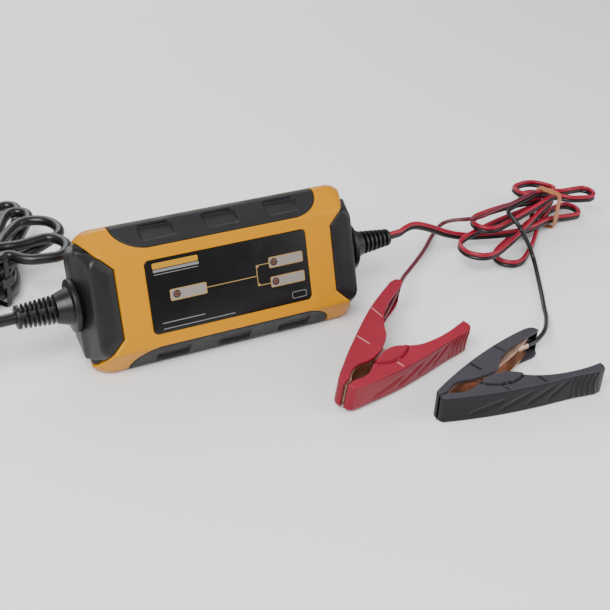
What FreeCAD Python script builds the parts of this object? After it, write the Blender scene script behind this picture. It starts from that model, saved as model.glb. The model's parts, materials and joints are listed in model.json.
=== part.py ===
# Car battery charger: a moulded case that leans back on its drafted lower side, a mains
# cord with its plug on the left and a twin output lead with two battery clips on the right.
# Millimetres. The origin is the centre of the flat face that the case rests on, +Z is up,
# +X runs along the case to the output lead and -Y points to the person who reads the label.

import FreeCAD, Part
import math
import os
import re
import Sketcher
from FreeCAD import Placement, Rotation, Vector

doc = FreeCAD.newDocument("BatteryCharger")

# Driving dimensions
# Each row is a name, its value and what it measures.

SIZES = (
    ("lean_angle", 20, "how far the case leans back, and the draft of its lower side"),
    ("front_half_length", 70.5, "half length of the case at its front face"),
    ("rim_half_length", 73.5, "half length where the front bevel ends"),
    ("waist_half_length", 75.5, "half length at the parting line"),
    ("rear_half_length", 73, "half length of the back face"),
    ("front_half_height", 25, "half height of the front face"),
    ("rim_half_height", 36, "half height where the front bevel ends"),
    ("bevel_depth", 12, "depth of the front bevel"),
    ("parting_depth", 16, "depth of the parting line behind the front face"),
    ("case_depth", 40, "overall depth of the case"),
    ("front_corner", 7, "corner radius at the front face"),
    ("rim_corner", 12, "corner radius at the rim"),
    ("rear_corner", 9, "corner radius at the back face"),
    ("skin", 2.4, "thickness of the grips and end caps"),
    ("backing", 1.8, "shell thickness under the grips and end caps"),
    ("shell_wall", 2.5, "wall of the case between the end caps"),
    ("spigot", 4, "how far the shells reach into an end cap"),
    ("cap_half_length", 58.3, "distance of each end cap's inner edge from the middle"),
    ("cap_half_edge", 17.6, "half length of that straight inner edge"),
    ("grip_half_length", 36, "half length of a grip's straight edge"),
    ("grip_ramp", 12, "length over which a grip's edge turns outwards"),
    ("grip_gap", 60, "half length of a grip zone past the rim"),
    ("zone_reach", 30, "how far the cutting zones reach past the case"),
    ("rest_skim", 0.02, "how much is skimmed off the resting side to make it truly flat"),
    ("pad_length", 16, "length of a recessed pad in a grip"),
    ("pad_height", 9, "height of a recessed pad"),
    ("pad_sink", 0.7, "depth of a recessed pad"),
    ("pad_corner", 3, "corner radius of a recessed pad"),
    ("pad_pitch", 31.5, "distance between recessed pads"),
    ("label_length", 86.6, "length of the label panel"),
    ("label_height", 37.2, "height of the label panel"),
    ("label_corner", 2.5, "corner radius of the label panel"),
    ("label_thick", 0.7, "thickness of the label panel"),
    ("label_sink", 0.8, "depth of its recess in the front face"),
    ("lamp_radius", 1.5, "radius of an indicator's light pipe"),
    ("lamp_flange", 2.3, "radius of the light pipe's flange"),
    ("lamp_proud", 0.3, "how far an indicator stands out of the label"),
    ("power_lamp_x", -29.1, "power indicator, along the label"),
    ("power_lamp_y", -0.4, "power indicator, up the label"),
    ("upper_lamp_x", 24, "upper indicator, along the label"),
    ("upper_lamp_y", 5, "upper indicator, up the label"),
    ("lower_lamp_x", 24, "lower indicator, along the label"),
    ("lower_lamp_y", -5.2, "lower indicator, up the label"),
    ("hollow_margin_x", 6, "how far the hollow behind the label is longer than it, at each end"),
    ("hollow_margin_y", 2, "how far that hollow is higher than the label, at each side"),
    ("chip_length", 3, "length of an indicator's chip"),
    ("chip_width", 1.6, "width of an indicator's chip"),
    ("chip_thick", 0.9, "thickness of an indicator's chip"),
    ("board_length", 104, "length of the circuit board"),
    ("board_height", 46, "height of the circuit board"),
    ("board_thick", 1.6, "thickness of the circuit board"),
    ("board_depth", 11, "depth of the board's front side behind the front face"),
    ("boss_x", 46, "distance of the screw bosses from the middle, along"),
    ("boss_y", 17.5, "distance of the screw bosses from the middle, up"),
    ("boss_radius", 4, "radius of the screw bosses"),
    ("boss_neck", 2.7, "radius of the boss necks that pass through the board"),
    ("screw_radius", 1.5, "radius of the case screws"),
    ("screw_head", 2.9, "radius of the screw heads"),
    ("screw_head_thick", 2, "thickness of the screw heads"),
    ("screw_seat", 22, "depth of the screw heads' seat behind the front face"),
    ("screw_bite", 9, "length of a screw beyond the parting line"),
    ("slot_width", 0.8, "width of the slot in a screw's head"),
    ("clearance", 0.1, "clearance round pins, lamps and cords"),
    ("transformer_x", 13, "middle of the transformer, along the board"),
    ("transformer_y", -2, "middle of the transformer, up the board"),
    ("transformer_length", 26, "length of the transformer's core"),
    ("transformer_width", 22, "width of the transformer's core"),
    ("transformer_height", 20, "height of the transformer"),
    ("transformer_leg", 4, "thickness of the core's legs"),
    ("winding_overhang", 3, "how far the winding stands out of the core on each side"),
    ("input_can_x", -13, "middle of the mains capacitor, along the board"),
    ("input_can_y", -11, "middle of the mains capacitor, up the board"),
    ("input_can_radius", 8, "radius of the mains capacitor"),
    ("input_can_height", 22, "height of the mains capacitor"),
    ("output_can_x", 38, "middle of the output capacitors, along the board"),
    ("output_can_y", -12, "middle of the first output capacitor, up the board"),
    ("output_can_pitch", 11.5, "distance between the output capacitors"),
    ("output_can_radius", 5, "radius of the output capacitors"),
    ("output_can_height", 16, "height of the output capacitors"),
    ("filter_x", -33, "middle of the filter capacitor and of the choke, along the board"),
    ("filter_y", -16.5, "middle of the filter capacitor, up the board"),
    ("filter_length", 14, "length of the filter capacitor"),
    ("filter_width", 6.5, "width of the filter capacitor"),
    ("filter_height", 12, "height of the filter capacitor"),
    ("choke_y", -2, "middle of the choke, up the board"),
    ("choke_radius", 6.3, "mean radius of the mains choke"),
    ("choke_section", 3, "radius of the choke's ring"),
    ("fuse_x", -41, "start of the fuse, along the board"),
    ("fuse_y", 14, "axis of the fuse, up the board"),
    ("fuse_radius", 2.6, "radius of the fuse"),
    ("fuse_length", 20, "length of the fuse"),
    ("fuse_lift", 1, "space between the fuse and the board"),
    ("fuse_clip_length", 5, "length of a fuse clip"),
    ("fuse_clip_wall", 0.5, "wall of a fuse clip beside the fuse"),
    ("sink_shift", 4, "distance of the heat sink's middle from the transformer's, along the board"),
    ("sink_length", 34, "length of the heat sink"),
    ("sink_height", 19, "height of the heat sink"),
    ("sink_sheet", 2, "thickness of the heat sink"),
    ("sink_flange", 6, "width of the heat sink's folded edge"),
    ("sink_y", 18, "distance of the heat sink from the board's middle line"),
    ("package_pitch", 17, "distance between the power devices"),
    ("package_width", 10, "width of a power device"),
    ("package_height", 15, "height of a power device"),
    ("package_thick", 4.4, "thickness of a power device"),
    ("tail_diameter", 2, "diameter of the single wires inside the case"),
    ("cord_diameter", 6, "diameter of the mains cord"),
    ("lead_diameter", 4, "diameter of the round solid that stands for the twin lead"),
    ("wire_diameter", 2.6, "diameter of one single lead"),
    ("mains_floor", 4.2, "height of the mains hank's lowest stretches"),
    ("mains_spacing", 0.8, "space between the mains hank's levels"),
    ("lead_floor", 3.3, "height of the lead hank's lowest stretches"),
    ("lead_spacing", 0.9, "space between the lead hank's levels"),
    ("tie_width", 3, "width of the ties round the hanks"),
    ("tie_thick", 0.6, "thickness of the ties"),
    ("tie_corner", 2, "inner corner radius of the ties"),
    ("tie_slack", 0.3, "space between a hank and its tie"),
    ("tag_length", 9, "length of a tie's tag"),
    ("tag_height", 4.5, "height of a tie's tag"),
    ("crimp_start", 33, "distance of a lead's crimp from the clip's pivot"),
    ("crimp_length", 7, "length of a crimp"),
    ("crimp_radius", 1.8, "outer radius of a crimp"),
    ("crimp_side", 16.6, "distance of a crimp from the clip's middle line"),
    ("plug_width", 35.3, "width of the mains plug"),
    ("plug_thick", 13.7, "thickness of the mains plug"),
    ("plug_length", 22, "length of the plug's block"),
    ("plug_corner", 5.5, "corner radius of the plug's block"),
    ("plug_sleeve", 16, "length of the plug's cord sleeve"),
    ("plug_sleeve_wall", 1, "wall of that sleeve where the cord enters"),
    ("plug_step", 0.4, "step between the sleeve's thick end and the block"),
    ("plug_pin_radius", 2, "radius of the plug's pins"),
    ("plug_pin_length", 19, "length of the plug's pins"),
    ("plug_pin_pitch", 18.6, "distance between the plug's pins"),
    ("plug_pin_root", 8, "depth of the pins in the plug"),
    ("relief_depth", 20, "depth of both strain reliefs' axis behind the front face"),
    ("mains_relief_end", 104.3, "distance of the mains relief's tip from the middle"),
    ("output_relief_end", 102.4, "distance of the output relief's tip from the middle"),
    ("relief_collar", 13.5, "radius of a strain relief's collar"),
    ("relief_collar_thick", 2.4, "thickness of that collar"),
    ("relief_root", 9.5, "radius of a strain relief's cone at the collar"),
    ("relief_neck", 7.3, "radius of the cone at the first rib"),
    ("mains_rib_tip", 5.9, "radius of the mains relief's last rib"),
    ("output_rib_root", 6.6, "radius of the output relief's first rib"),
    ("output_rib_tip", 4.6, "radius of the output relief's last rib"),
    ("relief_groove", 1.2, "width of the grooves between the ribs"),
    ("mains_groove_root", 4.6, "radius at the bottom of the mains relief's grooves"),
    ("output_groove_root", 3.5, "radius at the bottom of the output relief's grooves"),
    ("relief_flange", 9.8, "radius of the flange that keeps a strain relief in its cap"),
    ("relief_flange_thick", 2, "thickness of that flange"),
    ("relief_inner", 68.2, "distance of a strain relief's inner end from the middle"),
    ("relief_bore", 8, "radius of the hole for a strain relief"),
    ("clip_nose", 33, "distance from a clip's pivot to its nose"),
    ("clip_handle", 52, "distance from a clip's pivot to the ends of its handles"),
    ("clip_spread", 22.5, "distance of a handle's outer end from the clip's middle line"),
    ("clip_back", 14.6, "distance of a handle's back from the middle line, at the pivot"),
    ("clip_nose_back", 3.4, "the same at the nose"),
    ("clip_handle_end", 4, "height of a handle's side walls at its end"),
    ("clip_thick", 15, "width of a clip's covers"),
    ("clip_cover", 1.5, "wall of a clip's covers"),
    ("clip_mouth", 4.1, "half opening of the rounded mouth behind the teeth"),
    ("clip_lip", 5, "length of the flat lips at the nose"),
    ("clip_throat", 8, "where the covers' inner edges turn, before and behind the pivot"),
    ("clip_throat_side", 1, "half opening of the covers before the pivot"),
    ("clip_heel_side", 4.6, "half opening of the covers behind the pivot"),
    ("clip_bow", 30, "where the handles' inner edges bow most"),
    ("clip_bow_side", 15.3, "distance of the inner edges from the middle line there"),
    ("jaw_lip", 6, "length of a jaw's flat lips at the nose"),
    ("jaw_heel", 9, "where a jaw's inner edge turns behind the pivot"),
    ("jaw_heel_side", 5, "half opening of the jaws there"),
    ("jaw_bow", 27, "where a jaw's inner edge bows most"),
    ("lead_jaw_bow", 10.5, "distance of the lead jaw's inner edge from the middle line there"),
    ("free_jaw_bow", 14.3, "distance of the free jaw's inner edge from the middle line there"),
    ("jaw_short", 10, "how much shorter than its cover a jaw is at the handle's end"),
    ("clip_gap", 0.2, "half gap between the closed jaws"),
    ("jaw_sheet", 1, "thickness of the jaws' sheet copper"),
    ("jaw_play", 0.2, "play between a jaw and its cover"),
    ("pivot_radius", 1.8, "radius of a clip's pivot pin"),
    ("pivot_play", 0.05, "radial play of the pivot pin"),
    ("ear_radius", 5, "radius of the jaws' ears round the pivot"),
    ("spring_wire", 0.9, "wire of the clip's spring"),
    ("spring_space", 0.5, "space between the spring's turns"),
    ("spring_radius", 3.1, "mean radius of the spring's coil"),
    ("spring_leg", 26.5, "length of the spring's legs"),
    ("spring_leg_angle", 31, "slope of the spring's legs to the clip's middle line"),
    ("squeeze_angle", 30, "travel of a clip's free arm"),
    ("black_clip_x", 99, "black clip's pivot"),
    ("black_clip_y", -106.5, "black clip's pivot"),
    ("black_clip_yaw", 7, "black clip's direction from +X"),
    ("black_clip_tilt", 0, "how far the black clip's lead side is raised"),
    ("red_clip_x", 56, "red clip's pivot"),
    ("red_clip_y", -71, "red clip's pivot"),
    ("red_clip_yaw", 29.5, "red clip's direction from +X"),
    ("red_clip_tilt", 6, "how far the red clip's lead side is raised"),
)

sheet = doc.addObject("Spreadsheet::Sheet", "sizes")
for row, (alias, number, meaning) in enumerate(SIZES, start=1):
    sheet.set("A%d" % row, meaning)
    sheet.set("B%d" % row, str(number))
    sheet.setAlias("B%d" % row, alias)
doc.recompute()

NAMES = {alias for alias, number, meaning in SIZES}


def value(text):
    """The number that an expression over the sheet's names gives."""
    result = sheet.evalExpression(text)
    return float(getattr(result, "Value", result))


def cells(text):
    """The same expression with each name pointed at the sheet, for setExpression."""
    def pointed(word):
        return "sizes." + word.group() if word.group() in NAMES else word.group()

    return re.sub(r"[a-z_]+", pointed, text)


# Poses
# The case is drawn lying on its back: X along, Y up its face, Z out of the label.

LEAN = math.radians(value("lean_angle"))
WAIST_DROP = math.cos(LEAN) * value("rim_half_height") + math.sin(LEAN) * value("parting_depth")
LABEL_HEIGHT = WAIST_DROP - value("rest_skim")
REAR_HALF_HEIGHT = "(rim_half_height - (case_depth - parting_depth) * tan(lean_angle))"
REST_FRONT = math.cos(LEAN) * value("parting_depth") - math.sin(LEAN) * value("rim_half_height")
REST_BACK = math.cos(LEAN) * value("case_depth") - math.sin(LEAN) * value(REAR_HALF_HEIGHT)
LABEL_Y = -(REST_FRONT + REST_BACK) / 2
CASE_POSE = Placement(Vector(0, LABEL_Y, LABEL_HEIGHT), Rotation(Vector(1, 0, 0), 90 - value("lean_angle")))


def clip_pose(colour):
    """Where a clip lies: the pivot is its own origin, X runs to the handles, Z is the pivot's axis."""
    tilt = math.radians(value(colour + "_clip_tilt"))
    half = value("clip_thick") / 2
    low_side = value("clip_spread") * math.sin(tilt) + half * math.cos(tilt)
    turn = Rotation(Vector(0, 0, 1), value(colour + "_clip_yaw"))
    lean = Rotation(Vector(1, 0, 0), value(colour + "_clip_tilt"))
    spot = Vector(value(colour + "_clip_x"), value(colour + "_clip_y"), low_side)
    return Placement(spot, turn * lean)


# Drawing helpers

def bind(thing, prop, text):
    thing.setExpression(prop, cells(text))


def outline(sketch, path):
    """Draw a closed outline of (x, y) corners. A corner given as (x, y, xm, ym) is reached by an arc
    through xm, ym instead of a straight line. All are expressions, and each is bound to the sheet."""
    spots = [Vector(value(step[0]), value(step[1]), 0) for step in path]
    count = len(path)
    for index, step in enumerate(path):
        start = spots[index - 1]
        end = spots[index]
        if len(step) == 4:
            middle = Vector(value(step[2]), value(step[3]), 0)
            if (middle - start).cross(end - middle).z < 0:
                start, end = end, start
            sketch.addGeometry(Part.Arc(start, middle, end), False)
        else:
            sketch.addGeometry(Part.LineSegment(start, end), False)
    ends = []
    for index in range(count):
        shape = sketch.Geometry[index]
        flipped = shape.StartPoint.distanceToPoint(spots[index - 1]) > 1e-6
        ends.append((2, 1) if flipped else (1, 2))
    for index, step in enumerate(path):
        after = (index + 1) % count
        sketch.addConstraint(Sketcher.Constraint("Coincident", index, ends[index][1], after, ends[after][0]))
        for direction, text in (("DistanceX", step[0]), ("DistanceY", step[1])):
            at = sketch.addConstraint(Sketcher.Constraint(direction, -1, 1, index, ends[index][1], value(text)))
            bind(sketch, "Constraints[%d]" % at, text)
        if len(step) == 4:
            point = sketch.addGeometry(Part.Point(Vector(value(step[2]), value(step[3]), 0)), True)
            sketch.addConstraint(Sketcher.Constraint("PointOnObject", point, 1, index))
            for direction, text in (("DistanceX", step[2]), ("DistanceY", step[3])):
                at = sketch.addConstraint(Sketcher.Constraint(direction, -1, 1, point, 1, value(text)))
                bind(sketch, "Constraints[%d]" % at, text)


def rounded(half_length, half_height, radius):
    """A rounded rectangle about the origin, as an outline's path."""
    bulge = "%f * (%s)" % (1 - math.sqrt(0.5), radius)
    path = []
    for sx, sy, turn in ((1, 1, 1), (-1, 1, 0), (-1, -1, 1), (1, -1, 0)):
        far_x = "%d * (%s)" % (sx, half_length)
        far_y = "%d * (%s)" % (sy, half_height)
        near_x = "%d * ((%s) - (%s))" % (sx, half_length, radius)
        near_y = "%d * ((%s) - (%s))" % (sy, half_height, radius)
        arc_x = "%d * ((%s) - %s)" % (sx, half_length, bulge)
        arc_y = "%d * ((%s) - %s)" % (sy, half_height, bulge)
        if turn:
            path.append((far_x, near_y))
            path.append((near_x, far_y, arc_x, arc_y))
        else:
            path.append((near_x, far_y))
            path.append((far_x, near_y, arc_x, arc_y))
    return path


def loose_sketch(name, path, height="0"):
    sketch = doc.addObject("Sketcher::SketchObject", name)
    outline(sketch, path)
    bind(sketch, "Placement.Base.z", height)
    return sketch


def boolean(kind, name, base, tool):
    result = doc.addObject("Part::" + kind, name)
    result.Base = base
    result.Tool = tool
    return result


def joined(name, parts):
    result = doc.addObject("Part::MultiFuse", name)
    result.Shapes = parts
    return result


def group(name, parts):
    result = doc.addObject("Part::Compound", name)
    result.Links = parts
    return result


def placed(thing, x, y, z):
    for axis, text in (("x", x), ("y", y), ("z", z)):
        bind(thing, "Placement.Base." + axis, text)
    return thing


def block(name, x, y, z, length, width, height):
    """A box whose lowest corner is x, y, z."""
    box = doc.addObject("Part::Box", name)
    bind(box, "Length", length)
    bind(box, "Width", width)
    bind(box, "Height", height)
    return placed(box, x, y, z)


def rod(name, x, y, z, radius, height):
    """An upright cylinder that stands on x, y, z."""
    cylinder = doc.addObject("Part::Cylinder", name)
    bind(cylinder, "Radius", radius)
    bind(cylinder, "Height", height)
    return placed(cylinder, x, y, z)


def lying_rod(name, x, y, z, radius, length):
    """A cylinder along X that starts at x, y, z."""
    cylinder = rod(name, x, y, z, radius, length)
    cylinder.Placement.Rotation = Rotation(Vector(0, 1, 0), 90)
    return cylinder


def extruded(name, sketch, up, down):
    solid = doc.addObject("Part::Extrusion", name)
    solid.Base = sketch
    solid.DirMode = "Custom"
    solid.Dir = Vector(0, 0, 1)
    solid.Solid = True
    bind(solid, "LengthFwd", up)
    bind(solid, "LengthRev", down)
    return solid


def turned_about(thing, degrees):
    """A copy of a shape turned about the Z axis."""
    copy = doc.addObject("Part::Compound", thing.Name + "_turned")
    copy.Links = [thing]
    copy.Placement.Rotation = Rotation(Vector(0, 0, 1), degrees)
    return copy


def plane(body, role):
    return next(item for item in body.Origin.OriginFeatures if item.Role == role)


def new_body(name):
    return doc.addObject("PartDesign::Body", name)


def body_sketch(body, name, path, role="XY_Plane", offset=None):
    sketch = body.newObject("Sketcher::SketchObject", name)
    sketch.AttachmentSupport = (plane(body, role), [""])
    sketch.MapMode = "FlatFace"
    if offset:
        bind(sketch, "AttachmentOffset.Base.z", offset)
    outline(sketch, path)
    return sketch


def pad(body, name, sketch, length, both_ways=False, back=False):
    feature = body.newObject("PartDesign::Pad", name)
    feature.Profile = sketch
    bind(feature, "Length", length)
    feature.Midplane = both_ways
    feature.Reversed = back
    return feature


def pocket(body, name, sketch, length, both_ways=False, back=False):
    feature = body.newObject("PartDesign::Pocket", name)
    feature.Profile = sketch
    bind(feature, "Length", length)
    feature.Midplane = both_ways
    feature.Reversed = back
    return feature


def circle_sketch(body, name, x, y, radius, role="XY_Plane", offset=None):
    sketch = body.newObject("Sketcher::SketchObject", name)
    sketch.AttachmentSupport = (plane(body, role), [""])
    sketch.MapMode = "FlatFace"
    if offset:
        bind(sketch, "AttachmentOffset.Base.z", offset)
    sketch.addGeometry(Part.Circle(Vector(value(x), value(y), 0), Vector(0, 0, 1), value(radius)), False)
    for kind, text in (("DistanceX", x), ("DistanceY", y)):
        at = sketch.addConstraint(Sketcher.Constraint(kind, -1, 1, 0, 3, value(text)))
        bind(sketch, "Constraints[%d]" % at, text)
    at = sketch.addConstraint(Sketcher.Constraint("Radius", 0, value(radius)))
    bind(sketch, "Constraints[%d]" % at, radius)
    return sketch


NODES = []


def finish(thing, label, pose):
    """Give a finished sub-part its name and its place, and list it."""
    thing.Label = label
    thing.Placement = pose.multiply(thing.Placement)
    NODES.append(thing)


# Case forms
# The case is a solid between four rounded outlines. The same form drawn inwards gives the
# inside of the skin and of the shells, so that every wall keeps its thickness.

RISE = "((rim_half_height - front_half_height) / bevel_depth)"
SPREAD = "((rim_half_length - front_half_length) / bevel_depth)"
DRAFT = "tan(lean_angle)"


def case_form(name, inset):
    """The case's outer form, drawn inwards by inset."""
    front_length = "front_half_length - %s * (sqrt(1 + %s^2) - %s)" % (inset, SPREAD, SPREAD)
    front_height = "front_half_height - %s * (sqrt(1 + %s^2) - %s)" % (inset, RISE, RISE)
    rear_height = "%s - %s * (sqrt(1 + %s^2) - %s)" % (REAR_HALF_HEIGHT, inset, DRAFT, DRAFT)
    bevel_end = "-bevel_depth - %s * (sqrt(1 + %s^2) - 1) / %s" % (inset, RISE, RISE)
    levels = (
        ("front", front_length, front_height, "front_corner - %s" % inset, "-(%s)" % inset),
        ("rim", "rim_half_length - %s" % inset, "rim_half_height - %s" % inset,
         "rim_corner - %s" % inset, bevel_end),
        ("waist", "waist_half_length - %s" % inset, "rim_half_height - %s" % inset,
         "rim_corner - %s" % inset, "-parting_depth"),
        ("back", "rear_half_length - %s" % inset, rear_height,
         "rear_corner - %s" % inset, "-(case_depth - %s)" % inset),
    )
    sections = []
    for level, half_length, half_height, radius, height in levels:
        sections.append(loose_sketch(name + "_" + level, rounded(half_length, half_height, radius), height))
    solid = doc.addObject("Part::Loft", name)
    solid.Sections = sections
    solid.Solid = True
    solid.Ruled = True
    return solid


outer_form = case_form("outer_form", "0")
under_skin = case_form("under_skin", "skin")
inner_form = case_form("inner_form", "(skin + backing)")
thin_wall = case_form("thin_wall", "shell_wall")
skin_shell = boolean("Cut", "skin_shell", outer_form, under_skin)
full_shell = boolean("Cut", "full_shell", outer_form, inner_form)

# Zones that cut the case into its pieces: end caps, grips, front and rear halves.

CAP_PATH = [
    ("cap_half_length", "-cap_half_edge"),
    ("cap_half_length + zone_reach", "-cap_half_edge - zone_reach"),
    ("cap_half_length + zone_reach", "cap_half_edge + zone_reach"),
    ("cap_half_length", "cap_half_edge"),
]
GRIP_PATH = [
    ("grip_half_length", "front_half_height"),
    ("grip_half_length + grip_ramp * 0.9", "front_half_height + grip_ramp * 0.37",
     "grip_half_length + grip_ramp * 0.48", "front_half_height + grip_ramp * 0.095"),
    ("grip_gap", "front_half_height + grip_gap - grip_half_length - grip_ramp * 0.53"),
    ("grip_gap", "front_half_height + zone_reach"),
    ("-grip_gap", "front_half_height + zone_reach"),
    ("-grip_gap", "front_half_height + grip_gap - grip_half_length - grip_ramp * 0.53"),
    ("-grip_half_length - grip_ramp * 0.9", "front_half_height + grip_ramp * 0.37"),
    ("-grip_half_length", "front_half_height",
     "-grip_half_length - grip_ramp * 0.48", "front_half_height + grip_ramp * 0.095"),
]
cap_zone = extruded("cap_zone", loose_sketch("cap_zone_outline", CAP_PATH), "case_depth", "case_depth * 2")
grip_zone = extruded("grip_zone", loose_sketch("grip_zone_outline", GRIP_PATH), "case_depth", "parting_depth")
cap_core = group("cap_core", [cap_zone])
placed(cap_core, "spigot", "0", "0")
front_box = block("front_box", "-waist_half_length * 2", "-rim_half_height * 2", "-parting_depth",
                  "waist_half_length * 4", "rim_half_height * 4", "parting_depth * 2")
rear_box = block("rear_box", "-waist_half_length * 2", "-rim_half_height * 2", "-case_depth * 2",
                 "waist_half_length * 4", "rim_half_height * 4", "case_depth * 2 - parting_depth")

# End caps and grips

def end_cap(label, degrees, relief_depth):
    """One moulded end cap: the skin beyond the cap line, with a hole for the strain relief."""
    zone = cap_zone if degrees == 0 else turned_about(cap_zone, degrees)
    blank = boolean("Common", label + "_blank", skin_shell, zone)
    way = "rim_half_length - skin * 3" if degrees == 0 else "-waist_half_length - skin"
    hole = lying_rod(label + "_hole", way, "0", "-" + relief_depth, "relief_bore", "skin * 5")
    return boolean("Cut", label + "_body", blank, hole)


right_cap = end_cap("right_end_cap", 0, "relief_depth")
left_cap = end_cap("left_end_cap", 180, "relief_depth")


PAD_OUTLINE = rounded("pad_length / 2", "pad_height / 2", "pad_corner")
pad_block = extruded("pad_block", loose_sketch("pad_outline", PAD_OUTLINE), "pad_sink", "pad_sink")


def grip(label, degrees):
    """A soft grip that fills the notch in the front shell's edge, with three recessed pads."""
    zone = grip_zone if degrees == 0 else turned_about(grip_zone, degrees)
    blank = boolean("Common", label + "_blank", boolean("Common", label + "_half", skin_shell, front_box), zone)
    slope = 90 - math.degrees(math.atan(value(RISE)))
    side = 1 if degrees == 0 else -1
    mid_height = "%d * (front_half_height + rim_half_height) / 2" % side
    pads = []
    for step in (-1, 0, 1):
        sunk = group("%s_pad_%d" % (label, step + 2), [pad_block])
        sunk.Placement.Rotation = Rotation(Vector(1, 0, 0), -side * slope)
        placed(sunk, "%d * pad_pitch" % step, mid_height, "-bevel_depth / 2")
        pads.append(sunk)
    return blank, boolean("Cut", label + "_body", blank, group(label + "_pads", pads))


top_blank, top_grip = grip("top_grip", 0)
bottom_blank, bottom_grip = grip("bottom_grip", 180)

# Shells
# The front shell carries the label, the lamps and the board; the rear shell closes the back.
# Both run on under the end caps, where they are thinner by the skin.

span = block("span", "-cap_half_length + spigot", "-rim_half_height * 2", "-case_depth * 2",
             "(cap_half_length - spigot) * 2", "rim_half_height * 4", "case_depth * 2 - skin - backing")
caps_zone = joined("caps_zone", [right_cap, left_cap])
far_ends = group("far_ends", [cap_core, turned_about(cap_core, 180)])
thinning = boolean("Common", "thinning", thin_wall, span)
front_hollow = block(
    "front_hollow", "-label_length / 2 - hollow_margin_x", "-label_height / 2 - hollow_margin_y",
    "-skin - backing * 2", "label_length + hollow_margin_x * 2", "label_height + hollow_margin_y * 2",
    "backing * 2")

BOSSES = (("-boss_x", "-boss_y"), ("boss_x", "-boss_y"), ("-boss_x", "boss_y"), ("boss_x", "boss_y"))


def at_bosses(name, low, radius, height):
    """Four upright cylinders at the screw bosses."""
    posts = []
    for count, (x, y) in enumerate(BOSSES, start=1):
        posts.append(rod("%s_%d" % (name, count), x, y, low, radius, height))
    return group(name, posts)


front_blank = boolean("Common", "front_blank", full_shell, front_box)
front_posts = joined("front_posts", [
    boolean("Cut", "front_thinned", front_blank, front_hollow),
    at_bosses("front_boss", "-board_depth", "boss_radius", "board_depth - label_sink - backing / 2"),
    at_bosses("front_neck", "-parting_depth", "boss_neck", "parting_depth - board_depth"),
])
SEAT_OUTLINE = rounded(
    "label_length / 2 + clearance", "label_height / 2 + clearance", "label_corner + clearance")
label_seat = extruded("label_seat", loose_sketch("label_seat_outline", SEAT_OUTLINE), "zone_reach", "label_sink")
LAMPS = (
    ("power_lamp", "power_lamp_x", "power_lamp_y"),
    ("upper_lamp", "upper_lamp_x", "upper_lamp_y"),
    ("lower_lamp", "lower_lamp_x", "lower_lamp_y"),
)
lamp_holes = [rod(name + "_hole", x, y, "-board_depth", "lamp_radius + clearance", "board_depth * 2")
              for name, x, y in LAMPS]
front_shell = boolean("Cut", "front_shell_body", front_posts, joined("front_cuts", [
    top_blank, bottom_blank, caps_zone, far_ends, label_seat, group("lamp_holes", lamp_holes),
    at_bosses("front_pilot", "-parting_depth - 1", "screw_radius - clearance", "parting_depth - skin"),
]))

rear_blank = boolean("Common", "rear_blank", boolean("Cut", "rear_hollowed", full_shell, thinning), rear_box)
rear_posts = joined("rear_posts", [
    rear_blank,
    at_bosses("rear_boss", "-case_depth + skin / 2", "boss_radius", "case_depth - parting_depth - skin / 2"),
])
# The resting side: all that lies outside a plane just within the drafted lower side
rest_trim = group("rest_trim", [
    block("rest_block", "-waist_half_length", "-zone_reach", "-case_depth * 2",
          "waist_half_length * 2", "zone_reach", "case_depth * 3"),
])
rest_trim.Placement.Rotation = Rotation(Vector(1, 0, 0), value("lean_angle"))
placed(rest_trim, "0", "rest_skim * cos(lean_angle) - rim_half_height",
       "rest_skim * sin(lean_angle) - parting_depth")
rear_shell = boolean("Cut", "rear_shell_body", rear_posts, joined("rear_cuts", [
    caps_zone, far_ends, rest_trim,
    at_bosses("screw_hole", "-case_depth", "screw_radius + clearance", "case_depth"),
    at_bosses("screw_well", "-case_depth - 1", "screw_head + clearance", "case_depth - screw_seat + 1"),
]))
screws = []
for count, (x, y) in enumerate(BOSSES, start=1):
    shank = rod("screw_shank_%d" % count, x, y, "-screw_seat", "screw_radius - clearance",
                "screw_seat - parting_depth + screw_bite")
    head = rod("screw_top_%d" % count, x, y, "-screw_seat - screw_head_thick", "screw_head", "screw_head_thick")
    slot = block("screw_slot_%d" % count, x + " - screw_head", y + " - slot_width / 2",
                 "-screw_seat - screw_head_thick", "screw_head * 2", "slot_width", "screw_head_thick / 2")
    screws.append(boolean("Cut", "screw_%d" % count, joined("screw_blank_%d" % count, [shank, head]), slot))
case_screws = group("case_screw_set", screws)

finish(front_shell, "front_shell", CASE_POSE)
finish(rear_shell, "rear_shell", CASE_POSE)
finish(top_grip, "top_grip", CASE_POSE)
finish(bottom_grip, "bottom_grip", CASE_POSE)
finish(group("left_cap_set", [left_cap]), "left_end_cap", CASE_POSE)
finish(group("right_cap_set", [right_cap]), "right_end_cap", CASE_POSE)
finish(case_screws, "case_screws", CASE_POSE)

# Label and lamps

label = new_body("label_panel_body")
pad(label, "label_pad", body_sketch(label, "label_outline", rounded(
    "label_length / 2", "label_height / 2", "label_corner"), offset="-label_sink"), "label_thick")
for name, x, y in LAMPS:
    window = circle_sketch(label, name + "_window", x, y, "lamp_radius + clearance", offset="-label_sink")
    pocket(label, name + "_window_cut", window, "label_thick", back=True)
finish(label, "label_panel", CASE_POSE)

for name, x, y in LAMPS:
    pipe = rod(name + "_pipe", x, y, "chip_thick + clearance - board_depth", "lamp_radius",
               "board_depth - chip_thick - clearance + lamp_proud")
    flange = rod(name + "_flange", x, y, "-skin - chip_thick", "lamp_flange", "chip_thick")
    finish(joined(name + "_body", [pipe, flange]), name, CASE_POSE)

# Circuit board and what stands on it
# The board sits on the front bosses' shoulders; its parts hang towards the back.

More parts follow.
